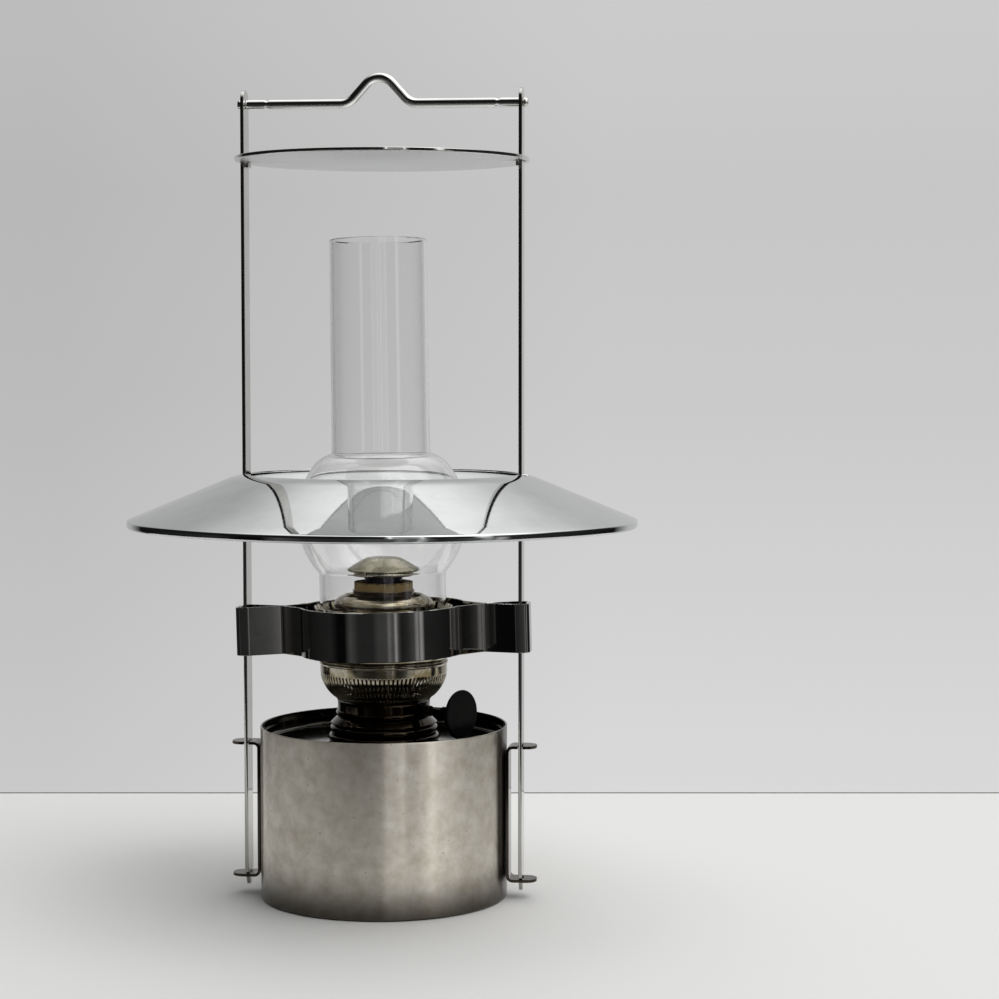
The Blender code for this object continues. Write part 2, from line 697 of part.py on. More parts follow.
def build_smoke_disc(steel):
    """A flat spun disc with a low lip turned up round its edge and a slot for each strip."""
    half = DISC_SHEET / 2
    level = disc_underside + half
    edge = disc_radius - half
    corners = [(0, level), (edge, level), (edge, disc_underside + DISC_LIP)]
    disc = turned_sheet("smoke_disc", rounded(corners, [DISC_LIP_BEND], 2), DISC_SHEET, steel, LARGE_STEPS)
    top = disc_underside + DISC_SHEET
    half_thickness = STRIP_THICKNESS / 2 + LOOSE_PLAY
    half_width = STRIP_WIDTH / 2 + LOOSE_PLAY * 2
    for name, side in (("left", -1), ("right", 1)):
        middle = side * upright_centre
        slot = box_mesh("disc_slot_" + name,
                        (middle - half_thickness, -half_width, disc_underside - CUT_MARGIN),
                        (middle + half_thickness, half_width, top + CUT_MARGIN))
        combine(disc, add_cutter("disc_slot_" + name, slot), "DIFFERENCE")


def build_shade(mirror):
    """A shallow spun cone with a wired rim, notched at both sides of its opening for the strips.

    It rests on one lug at each side, so it tips a little, with its front edge up.
    """
    half = SHADE_SHEET / 2
    path = shade_path()
    outer = [(across, up + half) for across, up in path]
    inner = [(across, up - half) for across, up in path]
    bead = (SHADE_RIM_RADIUS, shade_rim_height)
    roll = arc(bead, SHADE_BEAD_RADIUS, SHADE_BEAD_STARTS_AT, SHADE_BEAD_ENDS_AT, 6)
    outline = outer[:-1] + roll + inner[-2::-1]
    shade = turned("shade", outline, mirror, LARGE_STEPS)
    half_width = STRIP_WIDTH / 2 + LOOSE_PLAY
    for name, side in (("left", -1), ("right", 1)):
        low = sided(side, shade_opening - STRIP_WIDTH, -half_width, shade_rim_height + SHADE_RISE / 2)
        high = sided(side, strip_outer + LOOSE_PLAY, half_width, shade_rim_height + SHADE_RISE * 2)
        notch = box_mesh("shade_notch_" + name, low, high)
        combine(shade, add_cutter("shade_notch_" + name, notch), "DIFFERENCE")
    pivot = Matrix.Translation((0, 0, shade_height_at(strip_outer)))
    shade.matrix_world = pivot @ Matrix.Rotation(-SHADE_TILT, 4, "X") @ pivot.inverted()


def band_path(ear_side):
    """Plan of one half of the guard band, from the end of its left ear to that of its right one.

    It runs round in front of the burner. Each ear goes from the neck, where the halves nearly
    meet, out round the strip's edge and back along the strip's outer face.
    """
    neck = -SEAT_GAP - BAND_SHEET / 2
    front = -STRIP_WIDTH / 2 - LOOSE_PLAY - BAND_SHEET / 2
    strip_near = strip_inner - BAND_SHEET
    leave = (band_radius * math.cos(BAND_LEAVES_AT), -band_radius * math.sin(BAND_LEAVES_AT))
    corners = [leave, (band_radius + BAND_NECK_REACH, neck), (strip_near, front)]
    corners += [(ear_side, front), (ear_side, BAND_LAP)]
    first_angle = -math.degrees(BAND_LEAVES_AT)
    right = rounded(corners, [BAND_NECK_BEND, BAND_EAR_BEND, BAND_EAR_BEND])
    ring = arc((0, 0), band_radius, -180 - first_angle, first_angle, 22)
    left = [(-across, deep) for across, deep in reversed(right)]
    return left[:-1] + ring + right[1:]


def build_band(steel):
    """Two sprung halves. The front half laps over the rear one outside each strip."""
    outer_side = strip_outer + BAND_EAR_SPACE + BAND_SHEET + SEAT_GAP + BAND_SHEET / 2
    inner_side = outer_side - BAND_SHEET - SEAT_GAP
    tilt = Matrix.Rotation(-BAND_TILT, 4, "Y")
    for name, facing, ear_side in (("band_front", 1, outer_side), ("band_rear", -1, inner_side)):
        path = [(across, facing * deep, -BAND_HEIGHT / 2) for across, deep in band_path(ear_side)]
        mesh = swept_mesh(name, path, Vector((0, 0, BAND_HEIGHT)))
        half = add_piece(name, mesh, steel)
        half.matrix_world = Matrix.Translation((0, 0, floor_top + BAND_RISE + BAND_HEIGHT / 2)) @ tilt
        thicken(half, BAND_SHEET)


def build_burner_base(brass):
    """The screw neck, the beaded skirt above it and the deck that carries the wick tube."""
    neck_bore = neck_radius - NECK_WALL
    skirt_bore = BODY_RADIUS - BODY_SHEET * 2
    bead = BASE_BEAD_ROUND
    bead_centre = (BODY_RADIUS + BASE_BEAD_OVERHANG - bead, base_foot + bead)
    rim_level = base_foot + BASE_RIM_LEVEL
    rim_radius = BODY_RADIUS + BASE_RIM_OVERHANG
    outline = [(skirt_bore, base_top), (BODY_RADIUS, base_top)]
    outline += [(rim_radius, rim_level), (rim_radius - BASE_GROOVE, rim_level - BASE_GROOVE)]
    outline += arc(bead_centre, bead, BASE_BEAD_STARTS_AT, -90, 3)
    outline += [(neck_radius, base_foot), (neck_radius, neck_bottom), (neck_bore, neck_bottom)]
    outline += [(neck_bore, deck_top - DECK_SHEET), (outer_tube_radius + SEAT_GAP, deck_top - DECK_SHEET)]
    outline += [(outer_tube_radius + SEAT_GAP, deck_top), (skirt_bore, deck_top)]
    turned("burner_base", outline, brass, BURNER_STEPS)


def build_burner_body(brass):
    """The plain drum above the skirt, with a bead at its foot and a hole for the spindle's bush."""
    bore = BODY_RADIUS - BODY_SHEET
    bead_top = body_bottom + BODY_BEAD_HEIGHT
    bead_side = BODY_RADIUS + BODY_BEAD
    outline = [(bore, body_top), (BODY_RADIUS, body_top), (BODY_RADIUS, bead_top)]
    outline += [(bead_side, bead_top - BODY_BEAD), (bead_side, body_bottom + BODY_BEAD)]
    outline += [(BODY_RADIUS, body_bottom), (bore, body_bottom)]
    body = turned("burner_body", outline, brass, BURNER_STEPS)
    hole = rod_mesh("bush_hole", BUSH_RADIUS + SEAT_GAP, along_spindle(bore - CUT_MARGIN),
                    along_spindle(bead_side + CUT_MARGIN))
    combine(body, add_cutter("bush_hole", hole), "DIFFERENCE")


def along_spindle(distance, beside=0.0, up=0.0):
    """A point beside the winder's spindle, at a distance from the lamp's axis."""
    cosine = math.cos(SPINDLE_AZIMUTH)
    sine = math.sin(SPINDLE_AZIMUTH)
    return (cosine * distance - sine * beside, sine * distance + cosine * beside, spindle_height + up)


def pierced_shell(name, path, opened_rows, count, solid_share, columns, material):
    """A spun sheet with a window in every pitch: each pitch has solid columns and one open column.

    The columns are spun evenly and then moved round, so that the solid ones fill their share.
    """
    mesh = bpy.data.meshes.new(name)
    shape = bmesh.new()
    rail = [shape.verts.new((across, 0, up)) for across, up in path]
    edges = [shape.edges.new(pair) for pair in zip(rail, rail[1:])]
    total = count * (columns + 1)
    bmesh.ops.spin(shape, geom=rail + edges, axis=(0, 0, 1), cent=(0, 0, 0), angle=2 * math.pi, steps=total)
    bmesh.ops.remove_doubles(shape, verts=shape.verts, dist=WELD_DISTANCE)
    pitch = 2 * math.pi / count
    opened = []
    for face in shape.faces:
        middle = face.calc_center_median()
        place = (math.atan2(middle.y, middle.x) % pitch) / pitch
        level = min(vert.co.z for vert in face.verts)
        if place > columns / (columns + 1) and opened_rows[0] <= level < opened_rows[1]:
            opened.append(face)
    bmesh.ops.delete(shape, geom=opened, context="FACES")
    for vert in shape.verts:
        angle = math.atan2(vert.co.y, vert.co.x)
        share = (angle % pitch) / pitch
        column = round(share * (columns + 1)) % (columns + 1)
        start = angle - share * pitch if column else round(angle / pitch) * pitch
        moved = start + pitch * solid_share * column / columns
        reach = math.hypot(vert.co.x, vert.co.y)
        vert.co.x = reach * math.cos(moved)
        vert.co.y = reach * math.sin(moved)
    bmesh.ops.recalc_face_normals(shape, faces=shape.faces)
    shape.to_mesh(mesh)
    shape.free()
    return add_piece(name, mesh, material)


def build_air_basket(brass):
    """The bowl-shaped air intake: a ring of upright slots between a foot ring and a plain band."""
    low = basket_bottom + BASKET_FOOT_HEIGHT
    high = basket_bottom + BASKET_SLOT_TOP
    path = [(BODY_RADIUS - BODY_SHEET / 2, basket_bottom)]
    foot = (BODY_RADIUS + BASKET_FOOT_FLARE, low)
    path += bulged(foot, (basket_radius, high), -BASKET_BULGE, BASKET_SLOT_ROWS)
    path.append((basket_radius, basket_top))
    middle = BASKET_SHEET / 2
    basket = pierced_shell("air_basket", path, (low - middle, high - middle), BASKET_SLOTS,
                           1 - BASKET_SLOT_SHARE, 1, brass)
    thicken(basket, BASKET_SHEET)


def build_gallery(brass):
    """A floor for the chimney with a low collar and spring prongs round it."""
    prong_foot = (prong_radius, gallery_floor + GALLERY_COLLAR)
    bend_level = gallery_floor + PRONG_HEIGHT - PRONG_TIP
    bend = (prong_radius + PRONG_FLARE * PRONG_BEND_SHARE, bend_level)
    tip = (prong_radius + PRONG_FLARE, gallery_floor + PRONG_HEIGHT)
    path = [(GALLERY_INNER_RADIUS, gallery_floor), (prong_radius, gallery_floor), prong_foot, bend, tip]
    opened = (prong_foot[1] - GALLERY_SHEET / 2, tip[1])
    gallery = pierced_shell("gallery", path, opened, PRONG_COUNT, PRONG_SHARE, 3, brass)
    thicken(gallery, GALLERY_SHEET)


def build_deflector(brass):
    """Foot flange, straight wall, then a rounded ring that turns in to the flame opening."""
    foot = floor_top + SEAT_GAP + DEFLECTOR_SHEET / 2
    crease = foot + DEFLECTOR_CREASE
    top = foot + DEFLECTOR_HEIGHT
    side = (deflector_wall_radius + DEFLECTOR_BULGE, crease + (top - crease) * DEFLECTOR_SIDE_SHARE)
    crown = (deflector_opening + DEFLECTOR_DIP, top)
    path = [(deflector_foot_radius, foot), (deflector_wall_radius, foot), (deflector_wall_radius, crease)]
    path += bulged(side, crown, -DEFLECTOR_SHOULDER_BULGE, 2)
    path += [(deflector_opening, top - DEFLECTOR_DIP)]
    turned_sheet("deflector", path, DEFLECTOR_SHEET, brass, BURNER_STEPS)


def build_wick_tubes(brass):
    """The outer tube is slotted for the rack's arm and open at the chute; the inner one draws air."""
    bottom = deck_top - DECK_SHEET - SEAT_GAP
    outline = [(outer_tube_bore, wick_tube_top), (outer_tube_radius, wick_tube_top)]
    outline += [(outer_tube_radius, bottom), (outer_tube_bore, bottom)]
    outer = turned("outer_wick_tube", outline, brass, BURNER_STEPS)
    arm_low = carrier_bottom + (CARRIER_HEIGHT - ARM_HEIGHT) / 2
    low = arm_low - WICK_FALL - RUNNING_GAP - spindle_height
    high = arm_low + ARM_HEIGHT + WICK_RISE + RUNNING_GAP - spindle_height
    half = ARM_WIDTH / 2 + RUNNING_GAP
    slot = plan_box("arm_slot", (air_tube_bore, arm_middle() - half, low),
                    (outer_tube_radius + CUT_MARGIN * 2, arm_middle() + half, high))
    combine(outer, slot, "DIFFERENCE")
    window = chute_box("chute_window", CHUTE_WIDTH / 2 + SEAT_GAP, SEAT_GAP, outer_tube_radius * 2)
    combine(outer, window, "DIFFERENCE")

    sheet = WICK_TUBE_SHEET
    outline = [(0, air_tube_bottom + sheet), (air_tube_bore, air_tube_bottom + sheet)]
    outline += [(air_tube_bore, air_tube_top), (air_tube_radius, air_tube_top)]
    outline += [(air_tube_radius, air_tube_bottom), (0, air_tube_bottom)]
    inner = turned("inner_air_tube", outline, brass, BURNER_STEPS, closed=False)
    reach = outer_tube_radius + CHUTE_PROUD
    chute = chute_box("air_chute", CHUTE_WIDTH / 2, 0.0, reach, start=air_tube_bore)
    combine(inner, chute, "UNION")
    way = chute_box("air_chute_way", CHUTE_WIDTH / 2 - CHUTE_SHEET, -CHUTE_SHEET, reach + CUT_MARGIN)
    combine(inner, way, "DIFFERENCE")


def arm_middle():
    """Where the rack's arm runs beside the spindle."""
    return -(PITCH_RADIUS + TOOTH_HEIGHT / 2 + TOOTH_ROOT_GAP + RACK_BACK / 2)


def plan_box(name, low, high):
    """A box given by its distance from the lamp's axis, its place beside the spindle and its height."""
    box = add_cutter(name, box_mesh(name, low, high))
    box.location = (0, 0, spindle_height)
    box.rotation_euler = (0, 0, SPINDLE_AZIMUTH)
    return box


def chute_box(name, half_width, margin, reach, start=0.0):
    """A box along the air chute, which leaves the wick tubes on the side away from the winder."""
    low = (start, -half_width, chute_bottom - margin - spindle_height)
    high = (reach, half_width, chute_bottom + CHUTE_HEIGHT + margin - spindle_height)
    box = plan_box(name, low, high)
    box.rotation_euler = (0, 0, SPINDLE_AZIMUTH + math.pi)
    return box


def build_wick(cotton):
    """A flat wick rolled to a tube. Below the chute its edges part, and a groove takes the carrier."""
    groove = wick_radius - CARRIER_SHEET - SEAT_GAP
    groove_low = carrier_bottom - SEAT_GAP
    groove_high = carrier_bottom + CARRIER_HEIGHT + SEAT_GAP
    outline = [(WICK_INNER_RADIUS, wick_top), (wick_radius, wick_top)]
    outline += [(wick_radius, groove_high), (groove, groove_high)]
    outline += [(groove, groove_low), (wick_radius, groove_low)]
    outline += [(wick_radius, wick_bottom), (WICK_INNER_RADIUS, wick_bottom)]
    wick = turned("wick", outline, cotton, BURNER_STEPS)
    parting = chute_bottom + CHUTE_HEIGHT + WICK_FALL + CHUTE_SHEET
    half = CHUTE_WIDTH / 2 + SEAT_GAP * 2
    start = math.sqrt(WICK_INNER_RADIUS ** 2 - half ** 2) - CUT_MARGIN
    low = (start, -half, wick_bottom - CUT_MARGIN - spindle_height)
    high = (outer_tube_radius, half, parting - spindle_height)
    slit = plan_box("wick_slit", low, high)
    slit.rotation_euler = (0, 0, SPINDLE_AZIMUTH + math.pi)
    combine(wick, slit, "DIFFERENCE")


def rack_outline():
    """Side view of the rack, with its teeth towards the pinion, from its lower end upwards.

    It stands to the left of the spindle as seen from the knob, so a right-hand turn raises it.
    """
    half_height = TOOTH_HEIGHT / 2
    tips = PITCH_RADIUS - half_height
    roots = PITCH_RADIUS + half_height + TOOTH_ROOT_GAP
    back = roots + RACK_BACK
    wide = tooth_pitch * (2 * TOOTH_SHARE - TOOTH_TIP_SHARE) / 2
    narrow = tooth_pitch * TOOTH_TIP_SHARE / 2
    lowest = -tooth_pitch * (RACK_TEETH - 3) / 2
    points = []
    for tooth in range(RACK_TEETH):
        middle = lowest + tooth_pitch * tooth
        points += [(roots, middle - wide), (tips, middle - narrow)]
        points += [(tips, middle + narrow), (roots, middle + wide)]
    foot = points[0][1] - tooth_pitch * RACK_END_SHARE
    head = points[-1][1] + tooth_pitch * RACK_END_SHARE
    points = [(back, foot), (roots, foot)] + points + [(roots, head), (back, head)]
    return [(-across, up) for across, up in points]


def build_carrier(brass):
    """The ring that grips the wick, with an arm out through the slot to the upright rack."""
    near = outer_tube_radius + PINION_STANDOFF
    turned_frame = Matrix.Rotation(SPINDLE_AZIMUTH, 4, "Z")
    middle = near + RACK_WIDTH / 2
    stand = Matrix(((0, 0, 1, middle), (1, 0, 0, 0), (0, 1, 0, spindle_height), (0, 0, 0, 1)))
    rack = plate_mesh("wick_carrier", [rack_outline()], RACK_WIDTH, turned_frame @ stand)
    carrier = add_piece("wick_carrier", rack, brass)

    outer = wick_radius
    inner = outer - CARRIER_SHEET
    top = carrier_bottom + CARRIER_HEIGHT
    band = [(inner, top), (outer, top), (outer, carrier_bottom), (inner, carrier_bottom)]
    ring = add_cutter("carrier_ring", outline_mesh("carrier_ring", band, True))
    turn(ring, BURNER_STEPS)
    half = ARM_WIDTH / 2
    low = carrier_bottom + (CARRIER_HEIGHT - ARM_HEIGHT) / 2 - spindle_height
    start = math.sqrt((outer - CARRIER_SHEET / 2) ** 2 - arm_middle() ** 2)
    arm = plan_box("carrier_arm", (start, arm_middle() - half, low),
                   (middle, arm_middle() + half, low + ARM_HEIGHT))
    combine(carrier, arm, "UNION")
    combine(carrier, ring, "UNION")


def pinion_outline():
    """End view of the pinion: straight-sided teeth, one gap of which faces the rack's middle tooth."""
    half_height = TOOTH_HEIGHT / 2
    root = PITCH_RADIUS - half_height - TOOTH_ROOT_GAP
    tip = PITCH_RADIUS + half_height
    pitch = 2 * math.pi / PINION_TEETH
    points = []
    for tooth in range(PINION_TEETH):
        middle = pitch * (tooth + 0.5)
        corners = [(root, -PINION_ROOT_SHARE), (tip, -TOOTH_TIP_SHARE)]
        corners += [(tip, TOOTH_TIP_SHARE), (root, PINION_ROOT_SHARE)]
        for reach, share in corners:
            angle = middle + pitch * share
            points.append((reach * math.cos(angle), reach * math.sin(angle)))
    return points


def build_winder(brass, black):
    """Spindle, pinion and knob on one axis, and the bush in the drum's side that carries them."""
    axis = bpy.data.objects.new("winder_axis", None)
    axis.location = (0, 0, spindle_height)
    direction = Vector((math.cos(SPINDLE_AZIMUTH), math.sin(SPINDLE_AZIMUTH), 0))
    sideways = Vector((-direction.y, direction.x, 0))
    frame = Matrix((sideways, Vector((0, 0, 1)), direction)).transposed()
    axis.rotation_euler = frame.to_euler()
    parts.objects.link(axis)

    start = outer_tube_radius + PINION_STANDOFF
    end = knob_place - KNOB_EDGE - SEAT_GAP
    rod = rod_mesh("winder_spindle", SPINDLE_RADIUS, (0, 0, start), (0, 0, end))
    spindle = add_piece("winder_spindle", rod, brass)
    spindle.parent = axis

    hole = arc((0, 0), SPINDLE_RADIUS + SEAT_GAP, 0, 360, SMALL_STEPS)[:-1]
    place = Matrix.Translation((0, 0, start + PINION_WIDTH / 2))
    pinion_mesh = plate_mesh("spindle_pinion", [pinion_outline(), hole], PINION_WIDTH, place)
    pinion = add_piece("spindle_pinion", pinion_mesh, brass)
    pinion.parent = axis

    bore = SPINDLE_RADIUS + RUNNING_GAP
    inner_end = BODY_RADIUS - BODY_SHEET - BUSH_INSET
    outline = [(bore, inner_end + BUSH_LENGTH), (BUSH_RADIUS, inner_end + BUSH_LENGTH)]
    outline += [(BUSH_RADIUS, inner_end), (bore, inner_end)]
    bush = turned("spindle_bush", outline, brass, SMALL_STEPS)
    bush.parent = axis

    face = knob_place + KNOB_DOME
    back = knob_place - KNOB_EDGE
    hub = back - KNOB_HUB_LENGTH
    outline = bulged((0, face), (KNOB_RADIUS - KNOB_EDGE / 2, knob_place), KNOB_DOME_BULGE, 2)
    outline += [(KNOB_RADIUS, knob_place - KNOB_EDGE / 2), (KNOB_RADIUS - KNOB_EDGE / 2, back)]
    outline += [(KNOB_HUB_ROOT, back), (KNOB_HUB_RADIUS, back - KNOB_HUB_LENGTH / 2)]
    socket_end = hub + KNOB_SOCKET + SEAT_GAP
    outline += [(KNOB_HUB_RADIUS, hub), (bore, hub), (bore, socket_end), (0, socket_end)]
    knob = turned("winder_knob", outline, black, BURNER_STEPS, closed=False)
    knob.parent = axis


def build_flame_disc(brass):
    """A domed disc with a dished underside, on a stem with a ring of air holes below it."""
    half = FLAME_DISC_SHEET / 2
    rim = (flame_disc_radius - half, flame_disc_rim)
    dish = flame_disc_rim - FLAME_DISC_DISH_DEPTH
    opening = stem_radius + SEAT_GAP + half
    crown = flame_disc_rim + FLAME_DISC_HEIGHT - half
    path = [(0, crown), (FLAME_DISC_CROWN, crown)]
    path += bulged(path[-1], rim, FLAME_DISC_BULGE, 3)[1:]
    dish_edge = WICK_INNER_RADIUS - FLAME_DISC_DISH_INSET
    path += [(dish_edge, flame_disc_rim - FLAME_DISC_SHEET), (dish_edge, dish), (opening, dish)]
    turned_sheet("flame_disc", path, FLAME_DISC_SHEET, brass, BURNER_STEPS)

    bore = stem_radius - STEM_SHEET
    top = dish + STEM_OVERLAP
    flange_low = air_tube_top + SEAT_GAP
    flange_high = flange_low + STEM_FLANGE
    foot = flange_low - STEM_DEPTH
    foot_radius = air_tube_bore - RUNNING_GAP
    outline = [(bore, top), (stem_radius, top), (stem_radius, flange_high), (air_tube_radius, flange_high)]
    outline += [(air_tube_radius, flange_low), (stem_radius, flange_low)]
    outline += [(stem_radius, foot + STEM_FOOT * 2), (foot_radius, foot + STEM_FOOT), (foot_radius, foot)]
    outline += [(foot_radius - STEM_SHEET, foot), (foot_radius - STEM_SHEET, foot + STEM_FOOT)]
    outline += [(bore, foot + STEM_FOOT * 2)]
    stem = turned("flame_disc_stem", outline, brass, BURNER_STEPS)
    half_hole = STEM_HOLE_WIDTH / 2
    hole_low = wick_tube_top + STEM_HOLE_RISE
    for number in range(STEM_HOLES // 2):
        name = "stem_hole_" + str(number + 1)
        across = stem_radius + CUT_MARGIN
        far = (across, half_hole, hole_low + STEM_HOLE_HEIGHT)
        box = box_mesh(name, (-across, -half_hole, hole_low), far)
        slot = add_cutter(name, box)
        slot.rotation_euler = (0, 0, (number + 0.5) * 2 * math.pi / STEM_HOLES)
        combine(stem, slot, "DIFFERENCE")


def build_chimney(glass):
    """Straight base, round globe and tall flue, blown in one piece with a crease at each joint."""
    shoulder = math.degrees(math.acos(SHOULDER_RADIUS / GLOBE_RADIUS))
    base = -math.degrees(math.acos(CHIMNEY_BASE_RADIUS / GLOBE_RADIUS))
    globe = arc((0, GLOBE_HEIGHT), GLOBE_RADIUS, shoulder, base, 8)
    outer = [(FLUE_TOP_RADIUS, CHIMNEY_HEIGHT)]
    outer += bulged((FLUE_RADIUS, flue_joint_height), globe[0], -SHOULDER_SAG, 2)[:-1]
    outer += globe + [(CHIMNEY_BASE_RADIUS, 0)]
    inner = [(radius - GLASS_WALL, height) for radius, height in outer]
    outline = outer + inner[::-1]
    chimney = turned("chimney", outline, glass, BURNER_STEPS)
    full_lean = math.acos(math.cos(CHIMNEY_LEAN_LEFT) * math.cos(CHIMNEY_LEAN_BACK))
    pivot = Matrix.Translation((0, 0, chimney_foot + CHIMNEY_BASE_RADIUS * math.sin(full_lean)))
    lean = Matrix.Rotation(-CHIMNEY_LEAN_LEFT, 4, "Y") @ Matrix.Rotation(-CHIMNEY_LEAN_BACK, 4, "X")
    chimney.matrix_world = pivot @ lean


def build_lamp():
    steel = new_material("brushed_steel", (0.45, 0.45, 0.43), 0.3, 1.0)
    bright = new_material("bright_steel", (0.6, 0.6, 0.58), 0.15, 1.0)
    mirror = new_material("polished_shade", (0.75, 0.75, 0.73), 0.08, 1.0)
    nickel = new_material("nickelled_brass", (0.6, 0.56, 0.48), 0.25, 1.0)
    cotton = new_material("wick_cotton", (0.45, 0.34, 0.19), 0.95, 0.0)
    black = new_material("black_knob", (0.01, 0.01, 0.01), 0.5, 0.0)
    glass = new_material("clear_glass", (0.95, 0.97, 0.96), 0.0, 0.0, transmission=1.0)

    build_tank(steel)
    build_collar(nickel)
    build_bracket("bracket_left", -1, steel)
    build_bracket("bracket_right", 1, steel)
    build_upright("upright_left", -1, steel)
    build_upright("upright_right", 1, steel)
    build_hanger(steel, bright)
    build_smoke_disc(steel)
    build_shade(mirror)
    build_band(steel)
    build_burner_base(nickel)
    build_burner_body(nickel)
    build_air_basket(nickel)
    build_gallery(nickel)
    build_deflector(nickel)
    build_wick_tubes(nickel)
    build_wick(cotton)
    build_carrier(nickel)
    build_winder(nickel, black)
    build_flame_disc(nickel)
    build_chimney(glass)


remove_old_objects()
parts = new_collection("ship_lamp")
cutters = new_collection("cutters")
build_lamp()
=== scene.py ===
# %% [markdown]
# # A ship lamp
# This lesson dresses a sheet-metal oil lamp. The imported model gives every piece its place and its
# motion, and the cells below give it fine shapes and real finishes. All lengths are written in
# millimetres and become metres in one place, where a mesh is made.

# %% Load the fixed frame
import math

import bmesh
import bpy
import numpy as np
from mathutils import Matrix, Vector


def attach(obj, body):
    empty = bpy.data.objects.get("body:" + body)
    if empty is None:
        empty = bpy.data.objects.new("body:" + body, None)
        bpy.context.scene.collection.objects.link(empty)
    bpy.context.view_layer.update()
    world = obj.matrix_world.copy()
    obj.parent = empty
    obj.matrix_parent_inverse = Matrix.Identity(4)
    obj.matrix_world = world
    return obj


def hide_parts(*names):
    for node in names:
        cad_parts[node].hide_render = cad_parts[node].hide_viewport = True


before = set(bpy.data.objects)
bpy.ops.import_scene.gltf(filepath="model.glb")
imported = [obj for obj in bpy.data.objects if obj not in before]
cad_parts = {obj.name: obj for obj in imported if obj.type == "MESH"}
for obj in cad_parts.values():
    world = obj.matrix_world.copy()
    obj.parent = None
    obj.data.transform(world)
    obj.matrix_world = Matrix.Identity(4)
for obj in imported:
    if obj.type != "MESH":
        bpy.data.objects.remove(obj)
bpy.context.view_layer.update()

# %% [markdown]
# ## Grids of points
# Almost every piece of this lamp was spun, rolled or bent from sheet. Each is a surface with two
# parameters, so it can be worked out as a grid of points in one go. A screw modifier could turn
# a profile too, but a grid also lets cells be left out, which is how the slots are cut.

# %% Units and the quads of a grid
MM = 0.001
MERGE = 0.002


def grid_cells(rows, columns, close_rows, close_columns):
    """Quads between neighbouring points, numbered row by row, kept as a grid of cells."""
    down = np.arange(rows if close_rows else rows - 1)
    across = np.arange(columns if close_columns else columns - 1)
    i, j = np.meshgrid(down, across, indexing="ij")
    below, beside = (i + 1) % rows, (j + 1) % columns
    corners = [i * columns + j, i * columns + beside, below * columns + beside, below * columns + j]
    return np.stack(corners, axis=-1)


# %% [markdown]
# ## From points to a piece
# A mesh needs its seams and poles merged and its faces turned outwards. The signed volume says
# which way they face: it is negative when the shape is inside out. Smooth shading with creases
# kept at sharp edges gives spun metal its clean highlights.

# %% Make a piece and tie it to the frame
CREASE = math.radians(32)


def add_piece(name, points, cells, finish, ties, sheet=0.0):
    """A named piece from points in millimetres. A sheet thickness turns an open surface solid."""
    body, slot, nodes = ties
    mesh = bpy.data.meshes.new(name)
    places = (np.reshape(points, (-1, 3)) * MM).tolist()
    mesh.from_pydata(places, [], np.reshape(cells, (-1, 4)).tolist())
    shape = bmesh.new()
    shape.from_mesh(mesh)
    loose = [vert for vert in shape.verts if not vert.link_faces]
    bmesh.ops.delete(shape, geom=loose, context="VERTS")
    bmesh.ops.remove_doubles(shape, verts=shape.verts, dist=MERGE * MM)
    if not sheet:
        bmesh.ops.holes_fill(shape, edges=shape.edges)
        if shape.calc_volume(signed=True) < 0:
            bmesh.ops.reverse_faces(shape, faces=shape.faces)
    shape.to_mesh(mesh)
    shape.free()
    return finish_piece(name, mesh, finish, body, nodes, sheet)


def finish_piece(name, mesh, finish, body, nodes, sheet=0.0):
    """Links the mesh, shades it and makes it ride on its body in place of its nodes."""
    mesh.shade_smooth()
    mesh.set_sharp_from_angle(angle=CREASE)
    mesh.materials.append(finish)
    piece = bpy.data.objects.new(name, mesh)
    bpy.context.scene.collection.objects.link(piece)
    if sheet:
        wall = piece.modifiers.new("Sheet", "SOLIDIFY")
        wall.thickness = sheet * MM
        wall.offset = 0.0
        wall.use_even_offset = True
    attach(piece, body)
    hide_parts(*nodes)
    print(name, len(mesh.polygons), "faces on", body)
    return piece


# %% [markdown]
# ## Profiles
# A spun piece is a profile turned about an axis. Its corners are never sharp: sheet has a bend
# radius, and a lip is broken with a file. So corners are turned on small arcs, which also catch
# the thin bright lines that tell the eye it is metal.

# %% Arcs, bends and bows
def arc(centre, radius, start, end, steps):
    """Points at one radius from a centre, from a start angle to an end angle in degrees."""
    angle = np.radians(np.linspace(start, end, steps + 1))
    return np.stack([centre[0] + radius * np.cos(angle), centre[1] + radius * np.sin(angle)], 1)


def bend(corners, radii, steps=6):
    """The corners as a path whose inner corners are turned on arcs.

    The arc of a corner touches its two legs at radius / tan(half the angle between them).
    """
    corners = np.asarray(corners, float)
    parts = [corners[:1]]
    for before, corner, after, radius in zip(corners, corners[1:], corners[2:], radii):
        back = (before - corner) / np.linalg.norm(before - corner)
        ahead = (after - corner) / np.linalg.norm(after - corner)
        half = math.acos(np.clip(back @ ahead, -1, 1)) / 2
        centre = corner + (back + ahead) / np.linalg.norm(back + ahead) * radius / math.sin(half)
        first = corner + back * radius / math.tan(half) - centre
        last = corner + ahead * radius / math.tan(half) - centre
        sweep = math.atan2(first[0] * last[1] - first[1] * last[0], first @ last)
        turn = np.linspace(0, sweep, steps + 1)[:, None]
        parts.append(centre + np.cos(turn) * first + np.sin(turn) * np.array([-first[1], first[0]]))
    parts.append(corners[-1:])
    return np.concatenate(parts)


